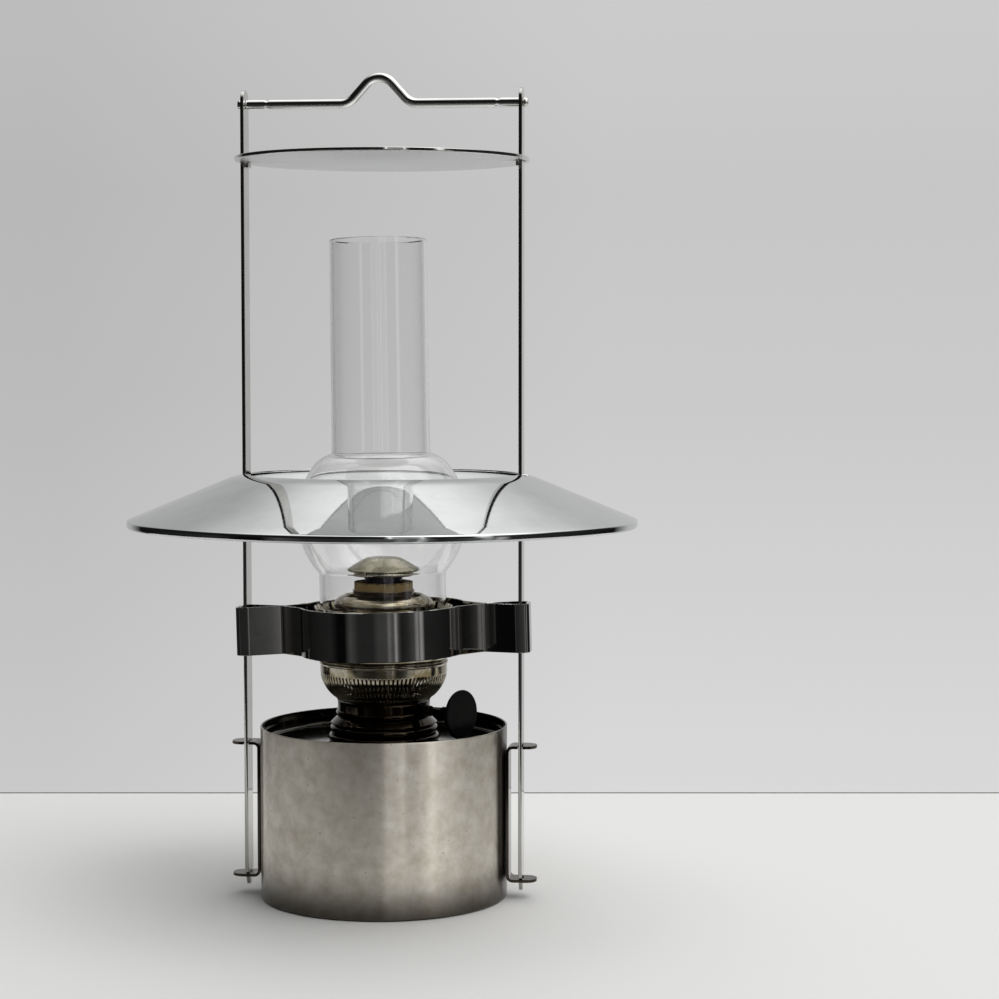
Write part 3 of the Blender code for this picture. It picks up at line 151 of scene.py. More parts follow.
def bow(start, end, height, steps):
    """The arc from start to end that stands off its chord by a height, to the left if positive."""
    start, end = np.asarray(start, float), np.asarray(end, float)
    half = np.linalg.norm(end - start) / 2
    radius = (half * half + height * height) / (2 * height)
    left = np.array([start[1] - end[1], end[0] - start[0]]) / (2 * half)
    centre = (start + end) / 2 + left * (height - radius)
    first = start - centre
    turn = np.linspace(0, -2 * math.asin(half / radius), steps + 1)[:, None]
    return centre + np.cos(turn) * first + np.sin(turn) * np.array([-first[1], first[0]])


def wall(path, thickness):
    """The closed outline of a sheet: its path moved half a thickness to each side."""
    path = np.asarray(path, float)
    along = np.gradient(path, axis=0)
    side = np.stack([along[:, 1], -along[:, 0]], 1) / np.linalg.norm(along, axis=1)[:, None]
    return np.concatenate([path + side * thickness / 2, (path - side * thickness / 2)[::-1]])


# %% Turn a profile about an axis
UPRIGHT = Matrix.Identity(4)


def moved(points, place):
    """The points turned by the matrix's upper left block, then shifted by its last column."""
    matrix = np.array(place)
    return points @ matrix[:3, :3].T + matrix[:3, 3]


def lathe(profile, angles, place=UPRIGHT):
    """Point i, j: radius and height of profile point i, turned by angle j and put in place."""
    radius, height = np.asarray(profile, float).T
    x, y = np.outer(radius, np.cos(angles)), np.outer(radius, np.sin(angles))
    return moved(np.stack([x, y, np.repeat(height[:, None], len(angles), 1)], -1), place)


def around(steps):
    return np.linspace(0, 2 * math.pi, steps, endpoint=False)


def spun(name, profile, finish, ties, steps=128, place=UPRIGHT):
    """A closed solid of revolution. A profile from the axis to the axis closes at its poles."""
    profile = np.asarray(profile, float)
    open_ended = abs(profile[0, 0]) < MERGE and abs(profile[-1, 0]) < MERGE
    cells = grid_cells(len(profile), steps, not open_ended, True)
    return add_piece(name, lathe(profile, around(steps), place), cells, finish, ties)


def pierced(name, path, angles, opened, sheet, finish, ties, place=UPRIGHT, relief=0.0):
    """A spun sheet without its opened cells; relief is added to the radius, point by point."""
    outward = np.stack([np.cos(angles), np.sin(angles), np.zeros(len(angles))], -1)
    points = lathe(path, angles) + np.asarray(relief)[..., None] * outward
    cells = grid_cells(len(path), len(angles), False, True)
    return add_piece(name, moved(points, place), cells[~opened], finish, ties, sheet)


# %% [markdown]
# ## Colours and nodes
# Colours are written as sRGB hex, the way a paint or a screen gives them, while the renderer
# works with linear light. One function turns the first into the second, and one adds a node.

# %% Colour and node helpers
LEVEL = (1, 1, 0)


def linear(code):
    """Linear red, green, blue and alpha of an sRGB hex colour, by the standard's two-part curve."""
    part = np.array([int(code[start:start + 2], 16) for start in (1, 3, 5)]) / 255
    light = np.where(part <= 0.04045, part / 12.92, ((part + 0.055) / 1.055) ** 2.4)
    return (*light.tolist(), 1.0)


def add_node(tree, kind, sockets=None, **settings):
    """Adds a shader node. A socket gets a value, or a link where it is given an output or a node.

    A node stands for the first of its outputs that is in use under its settings.
    """
    made = tree.nodes.new("ShaderNode" + kind)
    for key, value in settings.items():
        setattr(made, key, value)
    for key, value in (sockets or {}).items():
        if isinstance(value, bpy.types.Node):
            value = next(output for output in value.outputs if output.enabled)
        if isinstance(value, bpy.types.NodeSocket):
            tree.links.new(value, made.inputs[key])
        else:
            made.inputs[key].default_value = value
    return made


def new_finish(name):
    """An empty material, its node tree and the object's own coordinates in metres."""
    finish = bpy.data.materials.new(name)
    finish.use_nodes = True
    tree = finish.node_tree
    tree.nodes.clear()
    return finish, tree, add_node(tree, "TexCoord").outputs["Object"]


def axis_distance(tree, place):
    """The distance from the upright axis: the length of the place without its height."""
    level = add_node(tree, "VectorMath", {0: place, 1: LEVEL}, operation="MULTIPLY")
    return add_node(tree, "VectorMath", {0: level}, operation="LENGTH")


# %% [markdown]
# ## Brushed steel
# The tank, strips, band and discs are stainless steel sheet, drawn and then brushed with fine
# grit. The grit leaves fine scratches along one direction, so reflections spread across the
# scratches and stay sharp along them. Years of oil and hands leave soft stains and a few pin
# marks. Noise stretched along the brushing draws the scratches, 0.3 mm apart so that they show,
# and slow noise draws the stains.

# %% Brushed steel
GRIT = 0.3
SPECK = 2.4
COARSE = 0.4
COARSE_SHARE = 0.5
INSIDE_SHADE_STEEL = "#5A564E"
BARE_ROUGHNESS = 0.08
PAINTED_DARK_TONE = "#2A241D"
FOOT_SHADE_SHARE = 0.88
BRACKET_REFLECTION_SHARE = 0.9
BRACKET_REFLECTION_FROM, BRACKET_REFLECTION_FULL = 0.9, 0.96


def brushed_steel(name, bright, stained, rough, stretch, turned=False, mark_share=0.25,
                  scratch=0.05, cloud_size=26, inside=0.0, foot=0.0):
    """Steel with scratches stretched along the axes where stretch is small.

    A turned piece has fine and coarse scratches round its axis, mixed by a fixed share. Nearer
    to the axis than the inside radius it was never brushed, so there it is smoother, and its
    colour is painted dark as the shade in the recess inside the rim.
    Below the foot height the colour is darkened towards the floor as painted shade, and beside
    both brackets, where the squared share of x in the direction from the axis is near 1, it is
    darkened as a painted reflection of them.
    """
    finish, tree, place = new_finish(name)
    scaled = add_node(tree, "Mapping", {"Vector": place, "Scale": stretch})
    lines = add_node(tree, "TexNoise", {
        "Vector": scaled, "Scale": 1 / (GRIT * MM), "Detail": 2.0, "Roughness": 0.6})
    cloud = add_node(tree, "TexNoise", {
        "Vector": place, "Scale": 1 / (cloud_size * MM), "Detail": 6.0, "Roughness": 0.62,
        "Distortion": 0.15})
    specks = add_node(tree, "TexNoise", {"Vector": place, "Scale": 1 / (SPECK * MM), "Detail": 1.0})
    speck = add_node(tree, "MapRange", {
        "Value": specks, "From Min": 0.70, "From Max": 0.76, "To Max": 0.5})
    stain = add_node(tree, "MapRange", {
        "Value": cloud, "From Min": 0.35, "From Max": 0.75, "To Max": mark_share * 2})
    marks = add_node(tree, "Math", {0: stain, 1: speck}, operation="MAXIMUM")
    colour = add_node(tree, "Mix", {
        0: marks, 6: linear(bright), 7: linear(stained)}, data_type="RGBA")
    # Painted shade darkens the colour below the foot height, and a painted reflection of the
    # brackets darkens it beside them.
    if foot:
        spot = add_node(tree, "SeparateXYZ", {0: place})
        foot_shade = add_node(tree, "MapRange", {
            "Value": spot.outputs["Z"], "From Max": foot * MM, "To Min": FOOT_SHADE_SHARE,
            "To Max": 0.0}, interpolation_type="SMOOTHSTEP")
        level = add_node(tree, "VectorMath", {0: place, 1: LEVEL}, operation="MULTIPLY")
        facing = add_node(tree, "VectorMath", {0: level}, operation="NORMALIZE")
        sideways = add_node(tree, "VectorMath", {0: facing, 1: facing}, operation="MULTIPLY")
        squared = add_node(tree, "SeparateXYZ", {0: sideways})
        bracket_reflection = add_node(tree, "MapRange", {
            "Value": squared.outputs["X"], "From Min": BRACKET_REFLECTION_FROM, "From Max": BRACKET_REFLECTION_FULL,
            "To Max": BRACKET_REFLECTION_SHARE})
        painted_dark = add_node(tree, "Math", {0: foot_shade, 1: bracket_reflection}, operation="MAXIMUM")
        colour = add_node(tree, "Mix", {0: painted_dark, 6: colour, 7: linear(PAINTED_DARK_TONE)}, data_type="RGBA")
    worn = add_node(tree, "MapRange", {
        "Value": lines, "From Min": 0.3, "From Max": 0.7, "To Min": rough * 0.98,
        "To Max": rough * 1.03})
    relief = add_node(tree, "Bump", {"Height": lines, "Strength": scratch, "Distance": 0.01 * MM})
    metal = {"Base Color": colour, "Metallic": 1.0, "Roughness": worn, "Normal": relief}
    if turned:
        # Inside the rim the steel's colour is painted dark, as the shade in the tank's recess.
        shaded_inside = add_node(tree, "BsdfPrincipled", {
            **metal, "Base Color": linear(INSIDE_SHADE_STEEL), "Roughness": BARE_ROUGHNESS})
        tangent = add_node(tree, "Tangent", direction_type="RADIAL", axis="Z")
        round_axis = {"Anisotropic": 1.0, "Anisotropic Rotation": 0.25, "Tangent": tangent}
        fine = add_node(tree, "BsdfPrincipled", {**metal, **round_axis})
        coarse = add_node(tree, "BsdfPrincipled", {**metal, **round_axis, "Roughness": COARSE})
        brushed = add_node(tree, "MixShader", {0: COARSE_SHARE, 1: fine, 2: coarse})
        outer = add_node(tree, "Math", {
            0: axis_distance(tree, place), 1: inside * MM}, operation="GREATER_THAN")
        shader = add_node(tree, "MixShader", {0: outer, 1: shaded_inside, 2: brushed})
    else:
        shader = add_node(tree, "BsdfPrincipled", metal)
    add_node(tree, "OutputMaterial", {"Surface": shader})
    return finish


EVEN = (1.0, 1.0, 1.0)
tank_steel = brushed_steel("tank_brushed_steel", "#FBF5EA", "#B7A88D", 0.28, (0.01, 0.01, 1.0),
                           turned=True, mark_share=0.3, scratch=0.003, cloud_size=9,
                           inside=63.1, foot=26)
# The lid's colour is painted dark, as the shade in the tank's recess.
lid_shaded_steel = brushed_steel("lid_steel_painted_dark", "#5A5852", "#34302B", 0.08, EVEN, scratch=0.03)
strip_steel = brushed_steel("strip_brushed_steel", "#BEBDBA", "#8B857A", 0.07, (1.0, 1.0, 0.01),
                            scratch=0.0)
# The brackets are a darker copy of the frame's steel: painted shade, so that the tank reflects them
# dark.
bracket_shaded_steel = brushed_steel("bracket_steel_painted_dark", "#4E473F", "#2B241D", 0.12, EVEN,
                              mark_share=0.45)
band_steel = brushed_steel("band_polished_steel", "#BDBCBA", "#8E8B86", 0.05, (0.1, 0.1, 1.0),
                           scratch=0.03)
disc_steel = brushed_steel("disc_brushed_steel", "#D6D7D7", "#C8C8C6", 0.36, EVEN, scratch=0.02)
tube_steel = brushed_steel("tube_bright_steel", "#DCDCDA", "#B2AEA6", 0.03, (0.03, 1.0, 1.0),
                           scratch=0.0)
print("steel finishes made")

# %% [markdown]
# ## Mirror-polished shade
# The shade was spun over a wooden former and buffed to a mirror. Spinning leaves faint rings,
# one to three millimetres apart, that only ripple the reflections. They are noise of the
# distance from the axis alone, given as a very shallow bump.

# %% Mirror-polished steel with spinning rings
def spun_mirror(name, tone, dull, rough, ring_pitch, ring_depth):
    """Polished steel whose bump is noise of the radius alone, so it makes rings round the axis."""
    finish, tree, place = new_finish(name)
    rings = add_node(tree, "TexNoise", {
        "W": axis_distance(tree, place), "Scale": 1 / (ring_pitch * MM), "Detail": 3.0},
        noise_dimensions="1D")
    haze = add_node(tree, "TexNoise", {
        "Vector": place, "Scale": 1 / (40 * MM), "Detail": 6.0, "Roughness": 0.65})
    amount = add_node(tree, "MapRange", {"Value": haze, "From Min": 0.4, "From Max": 0.8})
    colour = add_node(tree, "Mix", {0: amount, 6: linear(tone), 7: linear(dull)}, data_type="RGBA")
    gloss = add_node(tree, "MapRange", {
        "Value": haze, "From Min": 0.3, "From Max": 0.8, "To Min": rough * 0.7,
        "To Max": rough * 1.6})
    relief = add_node(tree, "Bump", {"Height": rings, "Strength": 0.5, "Distance": ring_depth * MM})
    shader = add_node(tree, "BsdfPrincipled", {
        "Base Color": colour, "Metallic": 1.0, "Roughness": gloss, "Normal": relief})
    add_node(tree, "OutputMaterial", {"Surface": shader})
    return finish


shade_mirror = spun_mirror("shade_mirror_steel", "#D6D8D8", "#C2C3C3", 0.035, 3.0, 0.004)

# %% [markdown]
# ## Nickel-plated brass
# The burner is pressed brass with a thin nickel plate. Nickel yellows and mottles with heat and
# paraffin, and brass shows where it wears through on edges. Two noises mix a grey nickel with
# a golden one, and darker freckles sit in between.

# %% Aged nickel plate
def aged_nickel(name, plate, yellowed, soot, rough, soot_share):
    """Plated brass: blotches of yellowed plate a few millimetres wide, with fine dark freckles."""
    finish, tree, place = new_finish(name)
    blotch = add_node(tree, "TexNoise", {
        "Vector": place, "Scale": 1 / (7 * MM), "Detail": 6.0, "Roughness": 0.6, "Distortion": 0.6})
    freckle = add_node(tree, "TexNoise", {"Vector": place, "Scale": 1 / (0.9 * MM), "Detail": 3.0})
    yellow = add_node(tree, "MapRange", {"Value": blotch, "From Min": 0.4, "From Max": 0.65})
    dirt = add_node(tree, "MapRange", {
        "Value": freckle, "From Min": 0.58, "From Max": 0.72, "To Max": soot_share})
    base = add_node(tree, "Mix", {
        0: yellow, 6: linear(plate), 7: linear(yellowed)}, data_type="RGBA")
    colour = add_node(tree, "Mix", {0: dirt, 6: base, 7: linear(soot)}, data_type="RGBA")
    gloss = add_node(tree, "MapRange", {
        "Value": blotch, "From Min": 0.3, "From Max": 0.7, "To Min": rough * 0.7,
        "To Max": rough * 1.4})
    relief = add_node(tree, "Bump", {"Height": freckle, "Strength": 0.15, "Distance": 0.02 * MM})
    shader = add_node(tree, "BsdfPrincipled", {
        "Base Color": colour, "Metallic": 1.0, "Roughness": gloss, "Normal": relief})
    add_node(tree, "OutputMaterial", {"Surface": shader})
    return finish


nickel = aged_nickel("nickel_plated_brass", "#C2BDAE", "#A69A7C", "#463C2C", 0.16, 0.5)
dish_nickel = aged_nickel("flame_disc_nickel", "#A9A593", "#8B856C", "#332C20", 0.3, 0.7)
ring_nickel = aged_nickel("deflector_nickel", "#A79F8C", "#7F745A", "#342C1E", 0.12, 0.5)
# A near-black copy of the nickel: painted shade for the collar, skirt, drum, bush and winder rod in
# the recess below the lamp's shade.
shaded_base_nickel = aged_nickel("nickel_plated_brass_painted_dark", "#3C342C", "#281F17", "#140F0B", 0.07, 0.4)
basket_nickel = aged_nickel("basket_nickel_plated_brass", "#B4AE9E", "#85795C", "#2E2418",
                            0.12, 0.6)
tube_nickel = aged_nickel("wick_tube_nickel", "#6A5A4E", "#4C3C2E", "#1E1812", 0.05, 0.3)
tinted_nickel = aged_nickel("heat_tinted_nickel", "#4C4258", "#3C3038", "#17121C", 0.2, 0.6)

# %% [markdown]
# ## Cotton wick
# The wick is a flat cotton braid rolled to a tube. Its ribs run up and down, about 1.7 mm
# apart. Where it burned it is brown and then black, so the colour follows the height, with
# noise to make the scorched edge ragged.

# %% Scorched cotton
WICK_TOP = 162.6


def scorched_cotton(name):
    """Cotton whose char grows with the height, plus noise, in the last two millimetres."""
    finish, tree, place = new_finish(name)
    height = add_node(tree, "SeparateXYZ", {0: place}).outputs["Z"]
    ragged = add_node(tree, "TexNoise", {"Vector": place, "Scale": 1 / (3 * MM), "Detail": 4.0})
    lift = add_node(tree, "Math", {0: ragged, 1: 3.0 * MM, 2: height}, operation="MULTIPLY_ADD")
    burnt = add_node(tree, "MapRange", {
        "Value": lift, "From Min": (WICK_TOP + 0.6) * MM, "From Max": (WICK_TOP + 2.6) * MM})
    colour = add_node(tree, "ValToRGB", {0: burnt})
    stops = colour.color_ramp.elements
    stops[0].color, stops[1].color = linear("#EACB8C"), linear("#1A140E")
    stops.new(0.6).color = linear("#8E7040")
    threads = add_node(tree, "TexNoise", {"Vector": place, "Scale": 1 / (0.4 * MM), "Detail": 3.0})
    relief = add_node(tree, "Bump", {"Height": threads, "Strength": 0.7, "Distance": 0.2 * MM})
    shader = add_node(tree, "BsdfPrincipled", {
        "Base Color": colour, "Roughness": 0.95, "Normal": relief})
    add_node(tree, "OutputMaterial", {"Surface": shader})
    return finish


cotton = scorched_cotton("wick_braided_cotton")

# %% [markdown]
# ## Blown glass and moulded plastic
# The chimney is clear soda-lime glass blown in a mould, 1.1 mm thick, with a slight unevenness
# that bends its reflections. The knob is black phenolic plastic with a fine moulded grain, and
# it has dulled with handling.

# %% Clear glass
def clear_glass(name):
    """Clear glass, IOR 1.5, with a slow ripple from the mould, tens of millimetres long."""
    finish, tree, place = new_finish(name)
    ripple = add_node(tree, "TexNoise", {"Vector": place, "Scale": 1 / (30 * MM), "Detail": 1.0})
    relief = add_node(tree, "Bump", {"Height": ripple, "Strength": 0.2, "Distance": 0.3 * MM})
    shader = add_node(tree, "BsdfPrincipled", {
        "Base Color": linear("#FFFFFF"), "Roughness": 0.0, "IOR": 1.5, "Transmission Weight": 1.0,
        "Normal": relief})
    add_node(tree, "OutputMaterial", {"Surface": shader})
    return finish


def dulled_plastic(name):
    """Black phenolic plastic: dark, with grain near 0.4 mm and duller where fingers turn it."""
    finish, tree, place = new_finish(name)
    grain = add_node(tree, "TexNoise", {"Vector": place, "Scale": 1 / (0.4 * MM), "Detail": 3.0})
    worn = add_node(tree, "TexNoise", {"Vector": place, "Scale": 1 / (8 * MM), "Detail": 4.0})
    colour = add_node(tree, "Mix", {
        0: worn, 6: linear("#050505"), 7: linear("#0C0C0B")}, data_type="RGBA")
    gloss = add_node(tree, "MapRange", {
        "Value": worn, "From Min": 0.3, "From Max": 0.7, "To Min": 0.42, "To Max": 0.62})
    relief = add_node(tree, "Bump", {"Height": grain, "Strength": 0.2, "Distance": 0.03 * MM})
    shader = add_node(tree, "BsdfPrincipled", {
        "Base Color": colour, "Roughness": gloss, "Specular IOR Level": 0.15, "Normal": relief})
    add_node(tree, "OutputMaterial", {"Surface": shader})
    return finish


glass = clear_glass("chimney_clear_glass")
plastic = dulled_plastic("knob_black_phenolic")
print(len(bpy.data.materials), "materials")

# %% [markdown]
# ## Oil tank
# The tank is a drawn cup with its lid set a little below the rim, so that spilt oil stays in.
# The wall's top edge is rounded over, which gives the rim its fine double line of light.

# %% Tank wall and floor
TANK_RADIUS = 63.5
TANK_HEIGHT = 88.8
LID_LEVEL = 80.1
inner = TANK_RADIUS - 1.0
tank_outline = bend([(0, 1), (inner, 1), (inner, TANK_HEIGHT), (TANK_RADIUS, TANK_HEIGHT),
                     (TANK_RADIUS, 0), (0, 0)], [1.6, 0.45, 0.45, 1.6])
spun("oil_tank", tank_outline, tank_steel, ("lamp", "steel", ["tank_shell"]), steps=192)

# %% Recessed lid with its turned-up edge, and the threaded collar in it
lid_path = bend([(61.8, 84.7), (61.8, LID_LEVEL), (26.3, LID_LEVEL)], [2.4])
spun("tank_lid", wall(lid_path, 0.8), lid_shaded_steel, ("lamp", "steel", ["tank_top"]), steps=160)
collar_outline = np.concatenate([[(24.4, 84.6)], arc((26.9, 82.7), 1.9, 90, -90, 14),
                                 [(26.0, 80.8), (26.0, 75.8), (24.4, 75.8)]])
spun("screw_collar", collar_outline, shaded_base_nickel, ("lamp", "nickel", ["tank_collar"]))

# %% [markdown]
# ## Burner
# The burner stacks pressed rings: a beaded skirt that screws into the collar, a plain drum with
# the winder in its side, a bowl of slots that feeds air to the flame, and a sprung gallery
# that grips the chimney. Each is a profile, and the slots are cells left out of a grid.

# %% Beaded skirt and its neck
skirt_outline = np.concatenate([
    bend([(22.2, 93.5), (23.8, 93.5), (27.3, 90.3), (27.3, 89.9), (26.4, 89.3)], [0.4, 0.25, 0.25]),
    arc((25.8, 87.0), 2.1, 60, -90, 16),
    [(24.1, 84.9), (24.1, 76.5), (22.2, 76.5), (22.2, 79.5), (16.2, 79.5), (16.2, 80.3),
     (22.2, 80.3)]])
spun("burner_skirt", skirt_outline, shaded_base_nickel, ("lamp", "nickel", ["burner_base"]))

# %% Plain drum with a bead at its foot and a way through for the winder
WINDER_TURN = math.radians(-31)
WINDER_LEVEL = 98.2
DRUM_RADIUS = 23.4
BEAD_FOOT, BEAD_TOP = 93.8, 96.4
SMALLEST_STEP = 0.004


def window(levels, angles, low, high, *cuts):
    """Cells whose middle lies between two heights and within a cut's half width of its middle."""
    level = (levels[:-1] + levels[1:]) / 2
    step = (np.roll(angles, -1) - angles) % (2 * math.pi)
    opened = np.zeros((len(level), len(angles)), bool)
    for middle, half in cuts:
        off = np.abs((angles + step / 2 - middle + math.pi) % (2 * math.pi) - math.pi)
        opened |= np.outer((level > low) & (level < high), off < half)
    return opened


def angles_with(steps, *cuts):
    """Evenly spaced angles, with extra ones at the edges of cuts given as middle and half width."""
    edges = [middle + side * half for middle, half in cuts for side in (-1, 1)]
    angles = np.concatenate([around(steps), np.mod(edges, 2 * math.pi)])
    angles = np.unique(np.round(angles, 7))
    return angles[np.diff(np.append(angles, angles[0] + 2 * math.pi)) > SMALLEST_STEP]


drum_levels = np.append(np.linspace(BEAD_FOOT, BEAD_TOP, 14), [97.0, 98.2, 100.1, 101.7])
over_bead = np.clip((drum_levels - BEAD_FOOT) / (BEAD_TOP - BEAD_FOOT), 0, 1)
drum_path = np.stack([DRUM_RADIUS + 0.8 * np.sin(math.pi * over_bead) ** 0.6, drum_levels], 1)
drum_cut = (WINDER_TURN, math.asin(1.9 / DRUM_RADIUS))
drum_angles = angles_with(128, drum_cut)
opened = window(drum_levels, drum_angles, BEAD_TOP, 100.1, drum_cut)
pierced("burner_drum", drum_path, drum_angles, opened, 0.8, shaded_base_nickel,
        ("lamp", "nickel", ["burner_body"]))

# %% Air basket: ninety bars between a foot ring and a plain band
BARS = 90
BAR_SHARE = 0.56
BOWL_ROWS = slice(3, 17)
bowl = bow((24.4, 103.25), (32.3, 116.55), -1.5, 16)
band_top = bend([(32.3, 116.55), (32.3, 120.6), (32.75, 121.2), (32.75, 122.0), (32.1, 122.4),
                 (32.3, 123.3)], [0.5, 0.3, 0.3, 0.3], 3)
basket_path = np.concatenate([[(DRUM_RADIUS, 102.35), (24.0, 102.6)], bowl, band_top[1:]])
shares = np.array([0, 0.14, 0.28, 0.42, BAR_SHARE, 0.78])
basket_angles = (np.arange(BARS)[:, None] + shares).ravel() * 2 * math.pi / BARS
# Each bar is crowned outwards by 0.28 mm, and the crown fades at both ends of the bar.
crown = np.array([0, 0.75, 1, 0.75, 0, -0.4]) * 0.28
rise = np.zeros(len(basket_path))
rise[BOWL_ROWS.start:BOWL_ROWS.stop + 1] = np.sin(np.linspace(0, math.pi, 15)) ** 0.4
relief = np.outer(rise, np.tile(crown, BARS))
opened = np.zeros((len(basket_path) - 1, len(basket_angles)), bool)
opened[BOWL_ROWS] = np.tile(shares >= BAR_SHARE, BARS)
pierced("air_basket_bars", basket_path, basket_angles, opened, 0.6, basket_nickel,
        ("lamp", "nickel", ["air_basket"]), relief=relief)

# %% Gallery: a floor with a low collar and sixteen sprung prongs
PRONGS = 16
PRONG_SHARE = 0.78
COLLAR_ROWS = 7
prong = bend([(33.3, 126.35), (34.0, 145.95), (35.3, 149.95)], [6.0], 8)
low_collar = bend([(21.0, 123.95), (33.3, 123.95), (33.3, 126.35)], [0.7], 5)
gallery_path = np.concatenate([low_collar, prong[1:]])
prong_shares = np.array([0, 0.1, 0.26, 0.42, 0.58, 0.7, PRONG_SHARE])
gallery_angles = (np.arange(PRONGS)[:, None] + prong_shares).ravel() * 2 * math.pi / PRONGS
opened = np.zeros((len(gallery_path) - 1, len(gallery_angles)), bool)
opened[COLLAR_ROWS:] = np.tile(prong_shares >= PRONG_SHARE, PRONGS)
pierced("gallery_prongs", gallery_path, gallery_angles, opened, 0.6, nickel,
        ("lamp", "nickel", ["gallery"]))

# %% Flame deflector: a straight ring that rolls inwards over the wick tube
deflector_path = np.concatenate([
    bend([(27.0, 124.85), (23.8, 124.85), (23.8, 148.9), (25.1, 150.4), (25.4, 151.2)],
         [0.8, 0.8, 0.6]),
    bow((25.35, 151.5), (21.6, 155.0), -0.5, 10),
    bend([(20.6, 155.45), (19.8, 155.2), (19.6, 154.2)], [0.5], 4)])
spun("flame_deflector", wall(deflector_path, 0.6), ring_nickel, ("lamp", "nickel", ["deflector"]))

# %% [markdown]
# ## Wick, its tube and the flame spreader
# The wick rides in a tube, raised by a rack that reaches it through a slot. The spreader is
# a domed disc on a perforated thimble: air blows out of the holes and spreads the flame.

# %% Outer wick tube with the rack's slot and the window of the air chute
WICK_TUBE_RADIUS = 15.6
tube_levels = np.concatenate([[79.2, 83.7, 96.9, 103.3, 113.9], np.linspace(120, 157.9, 9),
                              [158.4]])
slot_cut = (WINDER_TURN + math.radians(-20.3), math.radians(4.3))
chute_cut = (WINDER_TURN + math.pi, math.radians(21.8))
tube_angles = angles_with(96, slot_cut, chute_cut)
opened = window(tube_levels, tube_angles, 83.7, 96.9, slot_cut)
opened |= window(tube_levels, tube_angles, 103.3, 113.9, chute_cut)
tube_path = np.stack([np.full(len(tube_levels), WICK_TUBE_RADIUS), tube_levels], 1)
pierced("wick_tube", tube_path, tube_angles, opened, 0.6, tube_nickel,
        ("lamp", "nickel", ["outer_wick_tube"]))

# %% The wick, ribbed, parted round the chute and ragged at the top
WICK_RADIUS = 14.25
wick_levels = np.concatenate([
    [14.0], np.linspace(20, 88, 8), [89.7, 90.6, 94.4, 95.3, 110.0, 121.3],
    np.linspace(130, 158, 8), np.linspace(159, WICK_TOP, 7)])
wick_angles = around(216)
ribs = 0.07 * np.sin(wick_angles * 54)
gripped = -0.3 * ((wick_levels > 90) & (wick_levels < 95))
relief = gripped[:, None] + ribs[None, :] * (wick_levels > 96)[:, None]
opened = window(wick_levels, wick_angles, 0, 121.3, (WINDER_TURN + math.pi, math.radians(25.5)))
wick_path = np.stack([np.full(len(wick_levels), WICK_RADIUS), wick_levels], 1)
pierced("round_wick", wick_path, wick_angles, opened, 1.36, cotton, ("wick_set", "wick", ["wick"]),
        relief=relief)

# %% Flame spreader: domed disc with a dished underside
spreader_path = np.concatenate([
    [(0, 174.65), (4.0, 174.63), (7.7, 174.55), (8.0, 174.4), (8.3, 174.55)],
    bow((8.6, 174.5), (18.15, 169.0), 0.15, 12),
    bend([(18.3, 168.75), (18.0, 168.45), (15.0, 168.3), (14.6, 165.9), (10.35, 165.9)],
         [0.15, 0.6, 0.6], 4)])
spun("flame_spreader_disc", wall(spreader_path, 0.6), dish_nickel,
     ("flame_spreader", "nickel", ["flame_disc"]), steps=112)


# %% Perforated thimble that carries it: square blocks of cells become round holes
def round_holes(levels, angles, radius, level, middles, hole, block):
    """Moves the rim of each square block of cells onto a circle and opens the cells inside it.

    A rim point keeps its direction from the hole's middle and gets the hole's radius.
    """
    height = np.repeat(levels[:, None], len(angles), 1)
    angle = np.repeat(angles[None, :], len(levels), 0)
    moved_angle, moved_height = angle.copy(), height.copy()
    opened = np.zeros((len(levels) - 1, len(angles)), bool)
    for middle in middles:
        across = ((angle - middle + math.pi) % (2 * math.pi) - math.pi) * radius
        up = height - level
        reach = np.maximum(np.abs(across), np.abs(up))
        rim = np.abs(reach - block) < block * 0.02
        length = np.hypot(across, up)
        moved_angle[rim] = middle + across[rim] / length[rim] * hole / radius
        moved_height[rim] = level + up[rim] / length[rim] * hole
        centre_off = across[:-1] + (angles[1] - angles[0]) * radius / 2
        centre_up = (up[:-1] + up[1:]) / 2
        opened |= (np.abs(centre_off) < block) & (np.abs(centre_up) < block)
    return moved_angle, moved_height, opened


HOLES = 36
HOLE_RADIUS = 0.45
THIMBLE_RADIUS = 9.45
hole_angles = around(HOLES * 6)
cell = hole_angles[1] * THIMBLE_RADIUS
hole_level = 164.5
thimble_levels = np.concatenate([[150.0, 156.0, 161.5, 162.3], hole_level + cell * np.arange(-3, 4),
                                 [166.4, 167.1]])
turned_to, raised_to, opened = round_holes(thimble_levels, hole_angles, THIMBLE_RADIUS, hole_level,
                                           hole_angles[3::6], HOLE_RADIUS, cell * 2)
thimble = np.stack([THIMBLE_RADIUS * np.cos(turned_to), THIMBLE_RADIUS * np.sin(turned_to),
                    raised_to], -1)
foot = lathe([(12.3, 141.8), (12.3, 144.8), (THIMBLE_RADIUS, 147.8)], hole_angles)
thimble = np.concatenate([foot, thimble])
opened = np.concatenate([np.zeros((3, len(hole_angles)), bool), opened])
cells = grid_cells(len(thimble), len(hole_angles), False, True)
add_piece("spreader_thimble", thimble, cells[~opened], tinted_nickel,
          ("flame_spreader", "nickel", ["flame_disc_stem"]), sheet=0.5)
spun("thimble_flange", [(9.6, 157.8), (13.2, 157.8), (13.2, 158.5), (9.6, 158.5)], nickel,
     ("flame_spreader", "nickel", ["flame_disc_stem"]), steps=64)

# %% [markdown]
# ## Winder
# A knob on a thin spindle turns a pinion inside the drum, and the pinion drives the rack. These
# pieces share one axis, so each is turned upright and then laid along the spindle.

